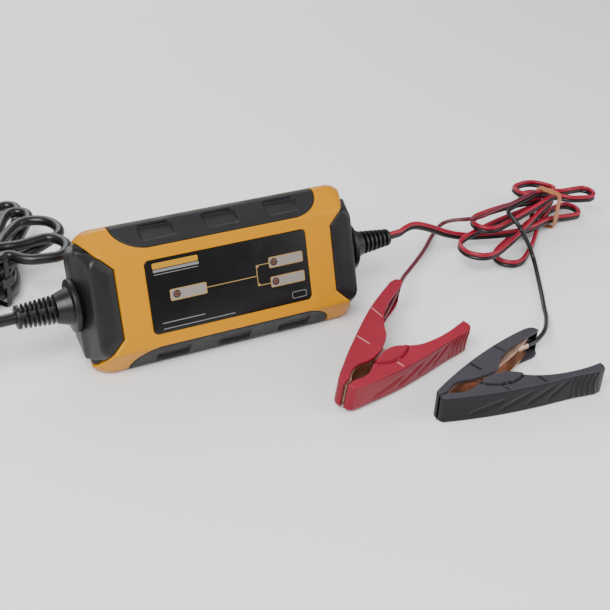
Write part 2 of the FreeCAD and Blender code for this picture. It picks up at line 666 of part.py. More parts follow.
BOARD_BACK = "(board_depth + board_thick)"
board = new_body("circuit_board_body")
pad(board, "board_pad", body_sketch(board, "board_outline", rounded(
    "board_length / 2", "board_height / 2", "label_corner"), offset="-" + BOARD_BACK), "board_thick")
for count, (x, y) in enumerate(BOSSES, start=1):
    hole = circle_sketch(board, "board_hole_%d" % count, x, y, "boss_neck + clearance", offset="-" + BOARD_BACK)
    pocket(board, "board_hole_cut_%d" % count, hole, "board_thick", back=True)
finish(board, "circuit_board", CASE_POSE)

chips = [block(name + "_chip", x + " - chip_length / 2", y + " - chip_width / 2", "-board_depth",
               "chip_length", "chip_width", "chip_thick") for name, x, y in LAMPS]
finish(group("indicator_chip_set", chips), "indicator_chips", CASE_POSE)


def on_board(name, x, y, length, width, height):
    """A block centred at x, y that stands on the board's back side."""
    return block(name, "%s - (%s) / 2" % (x, length), "%s - (%s) / 2" % (y, width),
                 "-%s - (%s)" % (BOARD_BACK, height), length, width, height)


def can(name, x, y, radius, height):
    return rod(name, x, y, "-%s - %s" % (BOARD_BACK, height), radius, height)


core_block = on_board("core_block", "transformer_x", "transformer_y", "transformer_length", "transformer_width",
                      "transformer_height")
core_window = block(
    "core_window", "transformer_x - transformer_length / 2 + transformer_leg",
    "transformer_y - transformer_width", "-%s - transformer_height + transformer_leg" % BOARD_BACK,
    "transformer_length - transformer_leg * 2", "transformer_width * 2",
    "transformer_height - transformer_leg * 2")
finish(boolean("Cut", "transformer_core_body", core_block, core_window), "transformer_core", CASE_POSE)
winding = block(
    "winding_block", "transformer_x - transformer_length / 2 + transformer_leg + clearance",
    "transformer_y - transformer_width / 2 - winding_overhang",
    "-%s - transformer_height + transformer_leg + clearance" % BOARD_BACK,
    "transformer_length - (transformer_leg + clearance) * 2", "transformer_width + winding_overhang * 2",
    "transformer_height - (transformer_leg + clearance) * 2")
finish(group("winding_set", [winding]), "transformer_winding", CASE_POSE)
input_can = can("input_can_body", "input_can_x", "input_can_y", "input_can_radius", "input_can_height")
finish(group("input_can", [input_can]), "mains_capacitor", CASE_POSE)
output_cans = [can("output_can_%d" % step, "output_can_x", "output_can_y + %d * output_can_pitch" % step,
                   "output_can_radius", "output_can_height") for step in (0, 1)]
finish(group("output_can_set", output_cans), "output_capacitors", CASE_POSE)
filter_block = on_board("filter_block", "filter_x", "filter_y", "filter_length", "filter_width", "filter_height")
finish(group("filter_set", [filter_block]), "filter_capacitor", CASE_POSE)
choke = doc.addObject("Part::Torus", "choke_ring")
bind(choke, "Radius1", "choke_radius")
bind(choke, "Radius2", "choke_section")
placed(choke, "filter_x", "choke_y", "-%s - choke_section" % BOARD_BACK)
finish(group("choke_set", [choke]), "mains_choke", CASE_POSE)
FUSE_AXIS = "-%s - fuse_radius - fuse_lift" % BOARD_BACK
fuse_glass = lying_rod("fuse_glass", "fuse_x", "fuse_y", FUSE_AXIS, "fuse_radius", "fuse_length")
fuse_clips = [block("fuse_clip_%d" % step, "fuse_x + %d * (fuse_length - fuse_clip_length)" % step,
                    "fuse_y - fuse_radius - fuse_clip_wall", FUSE_AXIS, "fuse_clip_length",
                    "(fuse_radius + fuse_clip_wall) * 2", "fuse_radius + fuse_lift") for step in (0, 1)]
fuse_holders = [boolean("Cut", "fuse_holder_%d" % step, clip, fuse_glass)
                for step, clip in enumerate(fuse_clips)]
finish(group("fuse_set", [fuse_glass]), "mains_fuse", CASE_POSE)
finish(group("fuse_holder_set", fuse_holders), "fuse_clips", CASE_POSE)
SINK_X = "transformer_x - sink_shift"
sink_wall = on_board("sink_wall", SINK_X, "sink_y", "sink_length", "sink_sheet", "sink_height")
sink_top = block("sink_top", SINK_X + " - sink_length / 2", "sink_y - sink_sheet / 2 - sink_flange",
                 "-%s - sink_height" % BOARD_BACK, "sink_length", "sink_flange", "sink_sheet")
finish(joined("heat_sink_body", [sink_wall, sink_top]), "heat_sink", CASE_POSE)
PACKAGE_Y = "sink_y - sink_sheet / 2 - package_thick / 2"
devices = [on_board("device_%d" % step, SINK_X + " + %d * package_pitch / 2" % step, PACKAGE_Y,
                    "package_width", "package_thick", "package_height") for step in (-1, 1)]
finish(group("device_set", devices), "power_devices", CASE_POSE)

# Strain reliefs
# Each is turned about the cord's axis: a flange inside the cap, a collar on it, a cone and ribs.

RIBS = 4


def relief(label, side, tip, rib_root, rib_tip, groove_root, bore):
    """A strain relief whose ribs get smaller towards the cord."""
    start = "waist_half_length + relief_collar_thick"
    pitch = "((%s - %s) * 0.84 / %d)" % (tip, "(" + start + ")", RIBS)
    path = [
        ("relief_inner", bore),
        ("relief_inner", "relief_flange"),
        ("relief_inner + relief_flange_thick", "relief_flange"),
        ("relief_inner + relief_flange_thick", "relief_bore - clearance"),
        ("waist_half_length", "relief_bore - clearance"),
        ("waist_half_length", "relief_collar"),
        (start, "relief_collar"),
        (start, "relief_root"),
    ]
    for step in range(RIBS):
        rib_start = "%s - %s * %d" % (tip, pitch, RIBS - step)
        rib_end = "%s - %s * %d" % (tip, pitch, RIBS - step - 1)
        size = "%s + (%s - %s) * %d / %d" % (rib_root, rib_tip, rib_root, step, RIBS - 1)
        if step:
            path.append((rib_start, groove_root))
            path.append((rib_start, size))
            path.append((rib_end + (" - relief_groove" if step < RIBS - 1 else ""), size))
        else:
            path.append((rib_start, size))
            path.append((rib_end + " - relief_groove", size))
        if step < RIBS - 1:
            path.append((rib_end + " - relief_groove", groove_root))
    path.append((tip, bore))
    body = new_body(label + "_body")
    turn = body.newObject("PartDesign::Revolution", label + "_turned")
    profile = body_sketch(body, label + "_profile", path)
    turn.Profile = profile
    turn.ReferenceAxis = (profile, ["H_Axis"])
    turn.Angle = 360
    way = Rotation(Vector(0, 0, 1), 0 if side > 0 else 180)
    body.Placement = Placement(Vector(0, 0, -value("relief_depth")), way)
    finish(body, label, CASE_POSE)


relief("mains_strain_relief", -1, "mains_relief_end", "relief_neck", "mains_rib_tip", "mains_groove_root",
       "cord_diameter / 2 + clearance")
relief("output_strain_relief", 1, "output_relief_end", "output_rib_root", "output_rib_tip", "output_groove_root",
       "lead_diameter / 2 + clearance")

# Battery clips
# Each clip is drawn about its pivot: X to the handles, +Y to the arm that holds the lead,
# Z along the pivot. An arm is a sheet copper channel in a moulded cover; the free jaw is
# narrower, so that its ears nest inside the ears of the lead's jaw.


def back_edge(side, inset, reach):
    """The curved back of an arm: start, middle and end, drawn inwards by inset."""
    nose = ("-clip_nose + %s" % inset, "%d * (clip_nose_back - %s)" % (side, inset))
    middle = ("0", "%d * (clip_back - %s)" % (side, inset))
    slope = "(clip_spread - clip_back) / clip_handle * 0.8"
    end = ("clip_handle + %s" % reach, "%d * (clip_spread - %s + %s * %s)" % (side, inset, reach, slope))
    return nose, middle, end


def cover_path(side):
    nose, middle, end = back_edge(side, "0", "0")
    return [
        ("-clip_nose", "%d * clip_gap" % side),
        nose,
        end + middle,
        ("clip_handle + 1", "%d * (clip_spread - clip_handle_end)" % side),
        ("clip_throat", "%d * clip_heel_side" % side, "clip_bow", "%d * clip_bow_side" % side),
        ("-clip_throat", "%d * clip_throat_side" % side),
        ("-clip_nose + clip_lip", "%d * clip_gap * 2" % side, "-clip_nose / 2 - 2", "%d * clip_mouth" % side),
    ]


def hollow_path(side, inset, reach, past):
    """The space inside a channel, open towards the other arm and at the handle's end."""
    nose, middle, end = back_edge(side, inset, reach)
    return [
        ("-clip_nose + %s" % inset, "%d * -(%s)" % (side, past)),
        nose,
        end + middle,
        (end[0], "%d * -(%s)" % (side, past)),
    ]


def jaw_path(side, inset):
    nose, middle, end = back_edge(side, inset, "-jaw_short")
    bow = "lead_jaw_bow" if side > 0 else "free_jaw_bow"
    return [
        ("-clip_nose + %s" % inset, "%d * clip_gap" % side),
        nose,
        end + middle,
        ("clip_handle - jaw_short", "%d * (clip_spread - clip_handle_end - jaw_sheet)" % side),
        ("jaw_heel", "%d * jaw_heel_side" % side, "jaw_bow", "%d * %s" % (side, bow)),
        ("-clip_throat", "%d * (clip_throat_side + jaw_play)" % side),
        ("-clip_nose + jaw_lip", "%d * clip_gap * 2" % side,
         "-clip_nose / 2 - 2", "%d * (clip_mouth - jaw_play * 3)" % side),
    ]


COVER_INSIDE = "(clip_thick - clip_cover * 2)"
JAW_INSET = "(clip_cover + jaw_play)"
WIDE_JAW = "(clip_thick - (clip_cover + jaw_play) * 2)"
NARROW_JAW = "(clip_thick - (clip_cover + jaw_play * 2 + jaw_sheet) * 2)"


def clip_cover(label, side, pose):
    cover = new_body(label + "_body")
    profile = body_sketch(cover, label + "_outline", cover_path(side))
    pad(cover, label + "_pad", profile, "clip_thick", both_ways=True)
    hollow = body_sketch(cover, label + "_hollow", hollow_path(side, "clip_cover", "4", "4"))
    pocket(cover, label + "_hollowed", hollow, COVER_INSIDE, both_ways=True)
    finish(cover, label, pose)


def clip_jaw(label, side, width, pose):
    jaw = new_body(label + "_body")
    profile = body_sketch(jaw, label + "_outline", jaw_path(side, JAW_INSET))
    pad(jaw, label + "_pad", profile, width, both_ways=True)
    ear = circle_sketch(jaw, label + "_ear", "0", "0", "ear_radius")
    pad(jaw, label + "_ears", ear, width, both_ways=True)
    inset = "(clip_cover + jaw_play + jaw_sheet)"
    hollow = body_sketch(jaw, label + "_hollow", hollow_path(side, inset, "4", "ear_radius + 1"))
    pocket(jaw, label + "_hollowed", hollow, "(%s - jaw_sheet * 2)" % width, both_ways=True)
    hole = circle_sketch(jaw, label + "_pin_hole", "0", "0", "pivot_radius + pivot_play")
    pocket(jaw, label + "_pin_cut", hole, "clip_thick * 2", both_ways=True)
    finish(jaw, label, pose)


# Tubes
# Springs, cords and leads are round tubes along straight runs joined by tangent arcs.


def corner_arc(start, corner, end):
    """The arc that leaves start towards corner and arrives at end, as far from the corner as start."""
    way_in = (corner - start).normalize()
    way_out = (end - corner).normalize()
    half = way_in.getAngle(way_out) / 2
    chord = (start + end) / 2
    return Part.Arc(start, chord + (corner - chord) * (math.cos(half) / (1 + math.cos(half))), end)


def biarc(start, start_way, end, end_way):
    """Two tangent arcs from start to end that leave and arrive along the given directions."""
    span_line = end - start
    ways = start_way + end_way
    dot = 2 * (1 - start_way.dot(end_way))
    along = span_line.dot(ways)
    reach = (math.sqrt(along * along + dot * span_line.dot(span_line)) - along) / dot
    first = start + start_way * reach
    second = end - end_way * reach
    middle = (first + second) / 2
    return [corner_arc(start, first, middle), corner_arc(middle, second, end)]


def run_and_arc_edges(points):
    """Straight runs between points with an arc at each corner, 0.45 of the shorter run from it."""
    edges = []
    radii = []
    here = points[0]
    for before, corner, after in zip(points, points[1:], points[2:]):
        way_in = corner - before
        way_out = after - corner
        turn = way_in.getAngle(way_out)
        cut = 0.45 * min(way_in.Length, way_out.Length)
        radii.append(cut / math.tan(turn / 2))
        start = corner - way_in.normalize() * cut
        end = corner + way_out.normalize() * cut
        edges.append(Part.LineSegment(here, start).toShape())
        edges.append(corner_arc(start, corner, end).toShape())
        here = end
    edges.append(Part.LineSegment(here, points[-1]).toShape())
    return edges, radii


def tube_along(edges, diameter):
    path = Part.Wire(edges)
    first = edges[0]
    start = first.valueAt(first.FirstParameter)
    way = first.tangentAt(first.FirstParameter)
    ring = Part.Wire([Part.makeCircle(diameter / 2, start, way)])
    return path.makePipeShell([ring], True, False), path.Length


def self_gap(edges, diameter):
    """The least gap between stretches of one tube that are more than three diameters apart along it."""
    points = []
    walked = 0.0
    for edge in edges:
        count = max(2, int(edge.Length / (diameter * 0.35)))
        for step, point in enumerate(edge.discretize(count + 1)[:-1]):
            points.append((walked + edge.Length * step / count, point))
        walked += edge.Length
    least = 1e9
    for index, (at, point) in enumerate(points):
        for other_at, other in points[index + 1:]:
            if other_at - at > diameter * 3:
                least = min(least, point.distanceToPoint(other))
    return least - diameter


def add_tube(label, edges, diameter, pose=Placement(), coiled=False, radii=()):
    solid, length = tube_along(edges, diameter)
    ideal = math.pi * diameter ** 2 / 4 * length
    text = "%s: %.0f mm long, volume %.4f of section times length" % (label, length, solid.Volume / ideal)
    if radii:
        text += ", radii from %.1f mm: %s" % (min(radii), " ".join("%.0f" % radius for radius in radii))
    if coiled:
        text += ", least gap to itself %.2f mm" % self_gap(edges, diameter)
    print(text)
    feature = doc.addObject("Part::Feature", label + "_tube")
    feature.Shape = solid
    finish(feature, label, pose)


SPRING_TURNS = 2


def spring_edges():
    """The torsion spring's fixed leg and its turns about the pivot, and its free leg."""
    radius = value("spring_radius")
    pitch = value("spring_wire") + value("spring_space")
    leg = value("spring_leg")
    leg_angle = math.radians(value("spring_leg_angle"))
    start_angle = math.pi / 2 + leg_angle
    sweep = SPRING_TURNS * 2 * math.pi + math.pi - 2 * leg_angle
    quarters = int(round(sweep / (math.pi / 2)))
    step = sweep / quarters

    def at(angle):
        height = pitch * (angle - start_angle - sweep / 2) / (2 * math.pi)
        return Vector(radius * math.cos(angle), radius * math.sin(angle), height)

    def way(quarter):
        angle = start_angle + quarter * step
        slope = pitch / (2 * math.pi * radius) if 0 < quarter < quarters else 0
        return Vector(-math.sin(angle), math.cos(angle), slope).normalize()

    first = at(start_angle)
    edges = [Part.LineSegment(first - way(0) * leg, first).toShape()]
    for quarter in range(quarters):
        low = at(start_angle + quarter * step)
        high = at(start_angle + (quarter + 1) * step)
        for arc in biarc(low, way(quarter), high, way(quarter + 1)):
            edges.append(arc.toShape())
    last = at(start_angle + sweep)
    free_leg = Part.LineSegment(last, last + way(quarters) * leg).toShape()
    return edges, [free_leg]


for colour in ("red", "black"):
    pose = clip_pose(colour)
    clip_cover(colour + "_lead_cover", 1, pose)
    clip_cover(colour + "_free_cover", -1, pose)
    clip_jaw(colour + "_lead_jaw", 1, WIDE_JAW, pose)
    clip_jaw(colour + "_free_jaw", -1, NARROW_JAW, pose)
    pin = rod(colour + "_pin", "0", "0", "-%s / 2 + clearance" % COVER_INSIDE,
              "pivot_radius", "%s - clearance * 2" % COVER_INSIDE)
    finish(group(colour + "_pin_set", [pin]), colour + "_pivot_pin", pose)
    coil_edges, free_leg_edges = spring_edges()
    add_tube(colour + "_spring", coil_edges, value("spring_wire"), pose, coiled=True)
    add_tube(colour + "_spring_leg", free_leg_edges, value("spring_wire"), pose)


# Cords
# The mains cord leaves on the left, drops to the floor behind the case and is folded into a
# hank with its plug on it. The twin output lead leaves on the right and is folded into a looser
# hank, where it splits into a red and a black lead, each to its clip.

MAINS_EXIT = CASE_POSE.multVec(Vector(-value("relief_inner"), 0, -value("relief_depth")))
OUTPUT_EXIT = CASE_POSE.multVec(Vector(value("relief_inner"), 0, -value("relief_depth")))


def loop(waist, direction, length, width, height):
    """One flat loop of a hank, from the waist out along direction and back, counter-clockwise."""
    along = Vector(math.cos(math.radians(direction)), math.sin(math.radians(direction)), 0)
    across = Vector(-along.y, along.x, 0)
    half = width / 2
    root = 0.45 * length
    shoulder = length - 0.42 * half
    middle = (root + shoulder) / 2
    corners = (
        (root, -0.72),
        (middle, -0.92),
        (shoulder, -1),
        (length + 0.16 * half, 0),
        (shoulder, 1),
        (middle, 0.92),
        (root, 0.72),
    )
    return [waist + along * reach + across * (half * side) + Vector(0, 0, height) for reach, side in corners]


def hank_points(waist, direction, half_waist, half_gap, floor, rise, right_loops, left_loops):
    """Corners of a hank: right and left loops in turn, with every pass through the tie on its own level.

    Passes to the right run along one side of the tie and passes to the left along the other.
    The first one comes in above the first left loop and beside the other passes.
    """
    along = Vector(math.cos(math.radians(direction)), math.sin(math.radians(direction)), 0)
    across = Vector(-along.y, along.x, 0)
    reach = along * half_waist
    right_levels = [floor + rise * turn for turn in range(4)]
    left_levels = [floor, floor + rise * 2, floor + rise * 3, floor + rise * 4]
    level_before = floor + rise
    low_side = waist - across * (half_gap + rise)
    high_side = waist + across * half_gap
    points = []
    for turn, right in enumerate(right_loops):
        right_level = Vector(0, 0, right_levels[turn])
        left_level = Vector(0, 0, left_levels[turn])
        points.append(low_side - reach + Vector(0, 0, level_before))
        points.append(low_side + reach + right_level)
        points += loop(waist, *right, right_levels[turn])
        points.append(high_side + reach + right_level)
        points.append(high_side - reach + left_level)
        if turn < len(left_loops):
            points += loop(waist, *left_loops[turn], left_levels[turn])
        level_before = left_levels[turn]
        low_side = waist - across * half_gap
    return points


def corners(*coordinates):
    return [Vector(*spot) for spot in coordinates]


def cord_between(label, points, diameter, coiled=False):
    edges, radii = run_and_arc_edges(points)
    add_tube(label, edges, diameter, Placement(), coiled, radii)


def tie(label, waist, direction, half_gap, floor, rise, diameter):
    """A flat tie round the waist of a hank, with a tag on its near side.

    The last stretch through the tie runs half a level above the others, which the top clears.
    """
    slack = value("tie_slack")
    bottom = floor - diameter / 2 - slack
    top = floor + 3.5 * rise + diameter / 2 + 3 * slack
    half_width = half_gap + rise / 2 + diameter / 2 + slack
    wide = "%f" % half_width
    high = "%f" % ((top - bottom) / 2)
    inner = loose_sketch(label + "_inner", rounded(wide, high, "tie_corner"))
    outer = loose_sketch(label + "_outer", rounded(
        wide + " + tie_thick", high + " + tie_thick", "tie_corner + tie_thick"))
    filled = extruded(label + "_filled", outer, "tie_width / 2", "tie_width / 2")
    hole = extruded(label + "_hole", inner, "tie_width", "tie_width")
    band = boolean("Cut", label + "_band", filled, hole)
    tag = block(label + "_tag", "-%f - tie_thick * 2" % half_width, "-tag_height / 2", "-tag_length / 2",
                "tie_thick * 1.5", "tag_height", "tag_length")
    along = Vector(math.cos(math.radians(direction)), math.sin(math.radians(direction)), 0)
    across = Vector(-along.y, along.x, 0)
    centre = waist - across * (rise / 2) + Vector(0, 0, (top + bottom) / 2)
    finish(joined(label + "_joined", [band, tag]), label,
           Placement(centre, Rotation(across, Vector(0, 0, 1), along, "ZXY")))


# Mains cord, its hank and the plug

MAINS_WAIST = Vector(-103, 74, 0)
MAINS_DIRECTION = 35
MAINS_HALF_WAIST = 12
MAINS_HALF_GAP = 4.4
MAINS_RIGHT_LOOPS = ((70, 98, 15), (63, 78, 15), (42, 60, 28), (0, 44, 22))
MAINS_LEFT_LOOPS = ((172, 62, 30), (160, 62, 30), (148, 62, 30))
cord = value("cord_diameter")
mains_floor = value("mains_floor")
mains_rise = cord + value("mains_spacing")
mains_route = [MAINS_EXIT] + corners(
    (-116, MAINS_EXIT.y, MAINS_EXIT.z),
    (-136, 3.3, 31),
    (-158, 8, 27),
    (-173, 22, 21),
    (-176, 42, 14),
    (-163, 58, 11),
    (-141, 62, 11),
    (-122, 59, 11),
)
mains_hank_route = hank_points(
    MAINS_WAIST, MAINS_DIRECTION, MAINS_HALF_WAIST, MAINS_HALF_GAP,
    mains_floor, mains_rise, MAINS_RIGHT_LOOPS, MAINS_LEFT_LOOPS,
)
plug_route = corners(
    (-130, 60, 31.6),
    (-150, 70, 31),
    (-172, 84, 26),
    (-188, 100, 14.5),
    (-196, 118, 7),
    (-198, 136, 7),
)
mains_split = (mains_route[-2] + mains_route[-1]) / 2
cord_between("mains_cord", mains_route[:-1] + [mains_split], cord)
cord_between("mains_hank", [mains_split, mains_route[-1]] + mains_hank_route + plug_route, cord, coiled=True)
tie("mains_tie", MAINS_WAIST, MAINS_DIRECTION, MAINS_HALF_GAP, mains_floor, mains_rise, cord)

plug_way = (plug_route[-1] - plug_route[-2]).normalize()
plug_side = Vector(0, 0, 1).cross(plug_way).normalize()
plug_pose = Placement(plug_route[-1], Rotation(plug_side, Vector(0, 0, 1), plug_way, "ZXY"))
plug_sleeve = doc.addObject("Part::Cone", "plug_sleeve")
bind(plug_sleeve, "Radius1", "cord_diameter / 2 + plug_sleeve_wall")
bind(plug_sleeve, "Radius2", "plug_thick / 2 - plug_step")
bind(plug_sleeve, "Height", "plug_sleeve")
plug_block = extruded("plug_block", loose_sketch("plug_outline", rounded(
    "plug_width / 2", "plug_thick / 2", "plug_corner"), "plug_sleeve"), "plug_length", "0")
plug_far = "(plug_sleeve + plug_length)"
pin_roots = [rod("pin_root_%d" % step, "%d * plug_pin_pitch / 2" % side, "0", plug_far + " - plug_pin_root",
                 "plug_pin_radius + clearance / 2", "plug_pin_root * 2") for step, side in enumerate((-1, 1))]
pins = [rod("pin_%d" % step, "%d * plug_pin_pitch / 2" % side, "0", plug_far + " - plug_pin_root",
            "plug_pin_radius", "plug_pin_root + plug_pin_length") for step, side in enumerate((-1, 1))]
plug_solid = joined("plug_solid", [plug_sleeve, plug_block])
finish(boolean("Cut", "plug_drilled", plug_solid, group("pin_roots", pin_roots)), "mains_plug", plug_pose)
finish(group("pin_pair", pins), "plug_pins", plug_pose)

# Output lead, its hank and the two single leads

LEAD_WAIST = Vector(232.5, 30, 0)
LEAD_DIRECTION = 25
LEAD_HALF_WAIST = 8
LEAD_HALF_GAP = 2.9
LEAD_RIGHT_LOOPS = ((4, 30, 15), (68, 25, 18), (68, 29, 27), (-10, 34, 13))
LEAD_LEFT_LOOPS = ((-146, 64, 18), (-157, 84, 24), (-166, 62, 18))
lead = value("lead_diameter")
lead_floor = value("lead_floor")
lead_rise = lead + value("lead_spacing")
lead_route = [OUTPUT_EXIT] + corners(
    (109, OUTPUT_EXIT.y, OUTPUT_EXIT.z),
    (116, 8, 32),
    (126, 13.5, 30),
    (140, 17, 23),
    (154, 20, 14.5),
    (168, 21, 9),
    (182, 18.5, 8),
    (196, 15, 8.1),
    (212, 14, 8.2),
)
lead_hank_route = hank_points(
    LEAD_WAIST, LEAD_DIRECTION, LEAD_HALF_WAIST, LEAD_HALF_GAP,
    lead_floor, lead_rise, LEAD_RIGHT_LOOPS, LEAD_LEFT_LOOPS,
)
lead_split = (lead_route[-2] + lead_route[-1]) / 2
cord_between("output_lead", lead_route[:-1] + [lead_split], lead)
cord_between("output_hank", [lead_split, lead_route[-1]] + lead_hank_route, lead, coiled=True)
tie("output_tie", LEAD_WAIST, LEAD_DIRECTION, LEAD_HALF_GAP, lead_floor, lead_rise, lead)

# The single leads start just past the end of the twin lead, one on the other.
wire = value("wire_diameter")
parting_way = (lead_hank_route[-1] - lead_hank_route[-2]).normalize()
parting = lead_hank_route[-1] + parting_way * (value("clearance") * 5)
wire_rise = (wire + value("clearance")) / 2
RED_ROUTE = (
    (200.8, 20.2, 25.4),
    (192.6, 19.1, 25.4),
    (183.6, 17.4, 24.5),
    (174.1, 15.8, 23.5),
    (166.6, 19.1, 22),
    (169, 34.9, 13),
    (168.5, 45.9, 5),
    (156.1, 37.3, 3),
    (141.9, 22.8, 4),
    (121.6, 5, 7),
    (109.1, -5.5, 9),
)
BLACK_ROUTE = (
    (201.4, 21.2, 21.7),
    (195.6, 18.7, 21.7),
    (194.4, 9.3, 21.7),
    (191, -2.3, 21.7),
    (194.7, -3.9, 15),
    (198.1, -6.2, 8),
    (198, -11.2, 2.5),
    (190.1, -25.5, 1.5),
    (180, -42.8, 1.5),
    (174.3, -51.9, 1.5),
    (167.4, -63.2, 3),
)
# The last stretch of a lead, from outside the cover's end into the crimp, in the clip's own frame.
CRIMP_SIDE = value("crimp_side")
CLIP_ROUTE = ((59, 21.9, 0), (49, 17.4, 0), (44, CRIMP_SIDE, 0), (value("crimp_start") - 1, CRIMP_SIDE, 0))
for colour, side, route in (("red", 1, RED_ROUTE), ("black", -1, BLACK_ROUTE)):
    pose = clip_pose(colour)
    start = parting + Vector(0, 0, side * wire_rise)
    inside = [pose.multVec(Vector(*spot)) for spot in CLIP_ROUTE]
    cord_between(colour + "_lead", [start] + corners(*route) + inside, wire)
    crimp = boolean(
        "Cut", colour + "_crimp_ring",
        lying_rod(colour + "_crimp_blank", "crimp_start", "crimp_side", "0", "crimp_radius", "crimp_length"),
        lying_rod(colour + "_crimp_hole", "crimp_start - 1", "crimp_side", "0",
                  "wire_diameter / 2 + clearance / 2", "crimp_length + 2"),
    )
    finish(group(colour + "_crimp_set", [crimp]), colour + "_crimp", pose)

# Single wires from the ends of the cords to the circuit board
TAIL_ROUTE = ((value("relief_inner"), 1.2, -20), (61, 1.6, -20), (52, 4, -19), (48.5, 5, -16), (48.5, 5, -12.7))
for label, end in (("mains_wires", -1), ("output_wires", 1)):
    tubes = []
    for side in (-1, 1):
        points = [Vector(end * x, side * y, z) for x, y, z in TAIL_ROUTE]
        edges, radii = run_and_arc_edges(points)
        feature = doc.addObject("Part::Feature", "%s_%d" % (label, len(tubes)))
        feature.Shape, length = tube_along(edges, value("tail_diameter"))
        tubes.append(feature)
    finish(group(label + "_pair", tubes), label, CASE_POSE)

doc.recompute()

# Every object is checked before the parts are written
for thing in doc.Objects:
    if "Invalid" in thing.State or "Error" in thing.State:
        raise RuntimeError("%s is %s" % (thing.Name, ", ".join(thing.State)))
for thing in NODES:
    if thing.Shape.isNull() or not thing.Shape.isValid():
        raise RuntimeError("%s has no valid shape" % thing.Label)

os.makedirs("parts", exist_ok=True)
for thing in NODES:
    thing.Shape.exportStep("parts/%s.step" % thing.Label)
print("%d sub-parts written" % len(NODES))
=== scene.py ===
# Looks of a car battery charger: a yellow case with dark grips and end caps, a tied mains
# cord with its plug, and a twin lead that parts into a red and a black lead, each to its clip.
# Shapes are drawn in millimetres in the case's or a clip's own frame and put into the table's
# frame in metres: +X along the case to the output lead, -Y to the viewer, +Z up.

import json
import math

import bmesh
import bpy
import numpy as np
from mathutils import Matrix, Vector


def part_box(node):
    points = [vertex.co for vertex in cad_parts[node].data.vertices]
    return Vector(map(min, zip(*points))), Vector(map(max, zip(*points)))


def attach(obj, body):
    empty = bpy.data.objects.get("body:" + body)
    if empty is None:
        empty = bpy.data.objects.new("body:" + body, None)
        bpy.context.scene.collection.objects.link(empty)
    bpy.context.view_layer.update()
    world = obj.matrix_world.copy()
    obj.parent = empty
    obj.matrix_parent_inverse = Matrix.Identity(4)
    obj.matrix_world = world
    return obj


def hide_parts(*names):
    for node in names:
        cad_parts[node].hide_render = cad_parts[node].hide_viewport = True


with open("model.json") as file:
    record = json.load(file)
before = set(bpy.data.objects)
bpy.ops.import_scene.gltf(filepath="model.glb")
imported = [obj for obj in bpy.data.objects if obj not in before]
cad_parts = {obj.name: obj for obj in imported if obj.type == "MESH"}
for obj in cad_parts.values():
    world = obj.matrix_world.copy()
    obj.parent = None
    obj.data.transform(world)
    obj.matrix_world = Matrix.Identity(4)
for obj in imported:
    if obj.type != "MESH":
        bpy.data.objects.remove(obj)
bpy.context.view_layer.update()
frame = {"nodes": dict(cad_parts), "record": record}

MM = 0.001
ROOT = "root"

# Places

LEAN = math.radians(20)
LABEL_MIDDLE_DEPTH = 0.45


def case_place():
    """The case's frame, found from the label panel: X along it, Y up its face, Z out of it."""
    low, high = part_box("label_panel")
    axes = np.array([
        (1, 0, 0),
        (0, math.sin(LEAN), math.cos(LEAN)),
        (0, -math.cos(LEAN), math.sin(LEAN)),
    ])
    middle = np.array((low + high) / 2) / MM
    return middle + axes[2] * LABEL_MIDDLE_DEPTH, axes


def added(name, data):
    """An object of the scene that shows this data."""
    piece = bpy.data.objects.new(name, data)
    bpy.context.scene.collection.objects.link(piece)
    return piece


def level_axes(degrees):
    """The level direction at this angle from X, and the level one square to it."""
    angle = math.radians(degrees)
    along = np.array((math.cos(angle), math.sin(angle), 0))
    return along, np.array((-along[1], along[0], 0))


def clip_place(x, y, yaw, tilt):
    """A clip's frame: the pivot is its origin, X runs to the handles and Z is the pivot's axis."""
    along, across = level_axes(yaw)
    tilt = math.radians(tilt)
    side = across * math.cos(tilt) + (0, 0, math.sin(tilt))
    height = CLIP_SPREAD * math.sin(tilt) + CLIP_THICK / 2 * math.cos(tilt)
    return np.array((x, y, height)), np.array([along, side, np.cross(along, side)])


CLIP_THICK = 15
CLIP_SPREAD = 22.5
CASE = case_place()
CLIPS = {
    "red": clip_place(56, -71, 29.5, 6),
    "black": clip_place(99, -106.5, 7, 0),
}
TABLE = (np.zeros(3), np.eye(3))


def placed(points, place):
    """Points in a place's own frame and millimetres, as points of the table's frame in millimetres."""
    origin, axes = place
    return np.asarray(points, float) @ axes + origin


# Camera

CAMERA_SPOT = (-193.24, -446.03, 337.27)
CAMERA_RIGHT = (0.8911, -0.4511, 0.0496)
CAMERA_AHEAD = (0.4013, 0.7325, -0.5500)
CAMERA_LENS = 65.72
SENSOR_WIDTH = 36


def make_camera():
    """The camera, its right side made square to the way it looks."""
    data = bpy.data.cameras.new("camera")
    data.lens = CAMERA_LENS
    data.sensor_width = SENSOR_WIDTH
    camera = added("camera", data)
    ahead = Vector(CAMERA_AHEAD).normalized()
    right = Vector(CAMERA_RIGHT)
    right = (right - ahead * right.dot(ahead)).normalized()
    turn = Matrix((right, right.cross(ahead), -ahead)).transposed()
    camera.matrix_world = Matrix.Translation(Vector(CAMERA_SPOT) * MM) @ turn.to_4x4()
    bpy.context.scene.camera = camera


make_camera()

# Finishes
# Each finish is one shader with its own grain. Patterns are on object coordinates in metres; a
# clip cover's finish also reads the values that are written on the cover's points.

COAT_ROUGHNESS = 0.08
CLOUD_SCALE = 40
SCREEN_GRAIN = 6000
INK_ROUGHNESS = 0.4
TARNISH = 0.25
COVER_GRAIN = 2400
COVER_GRAIN_DEPTH = 0.000012


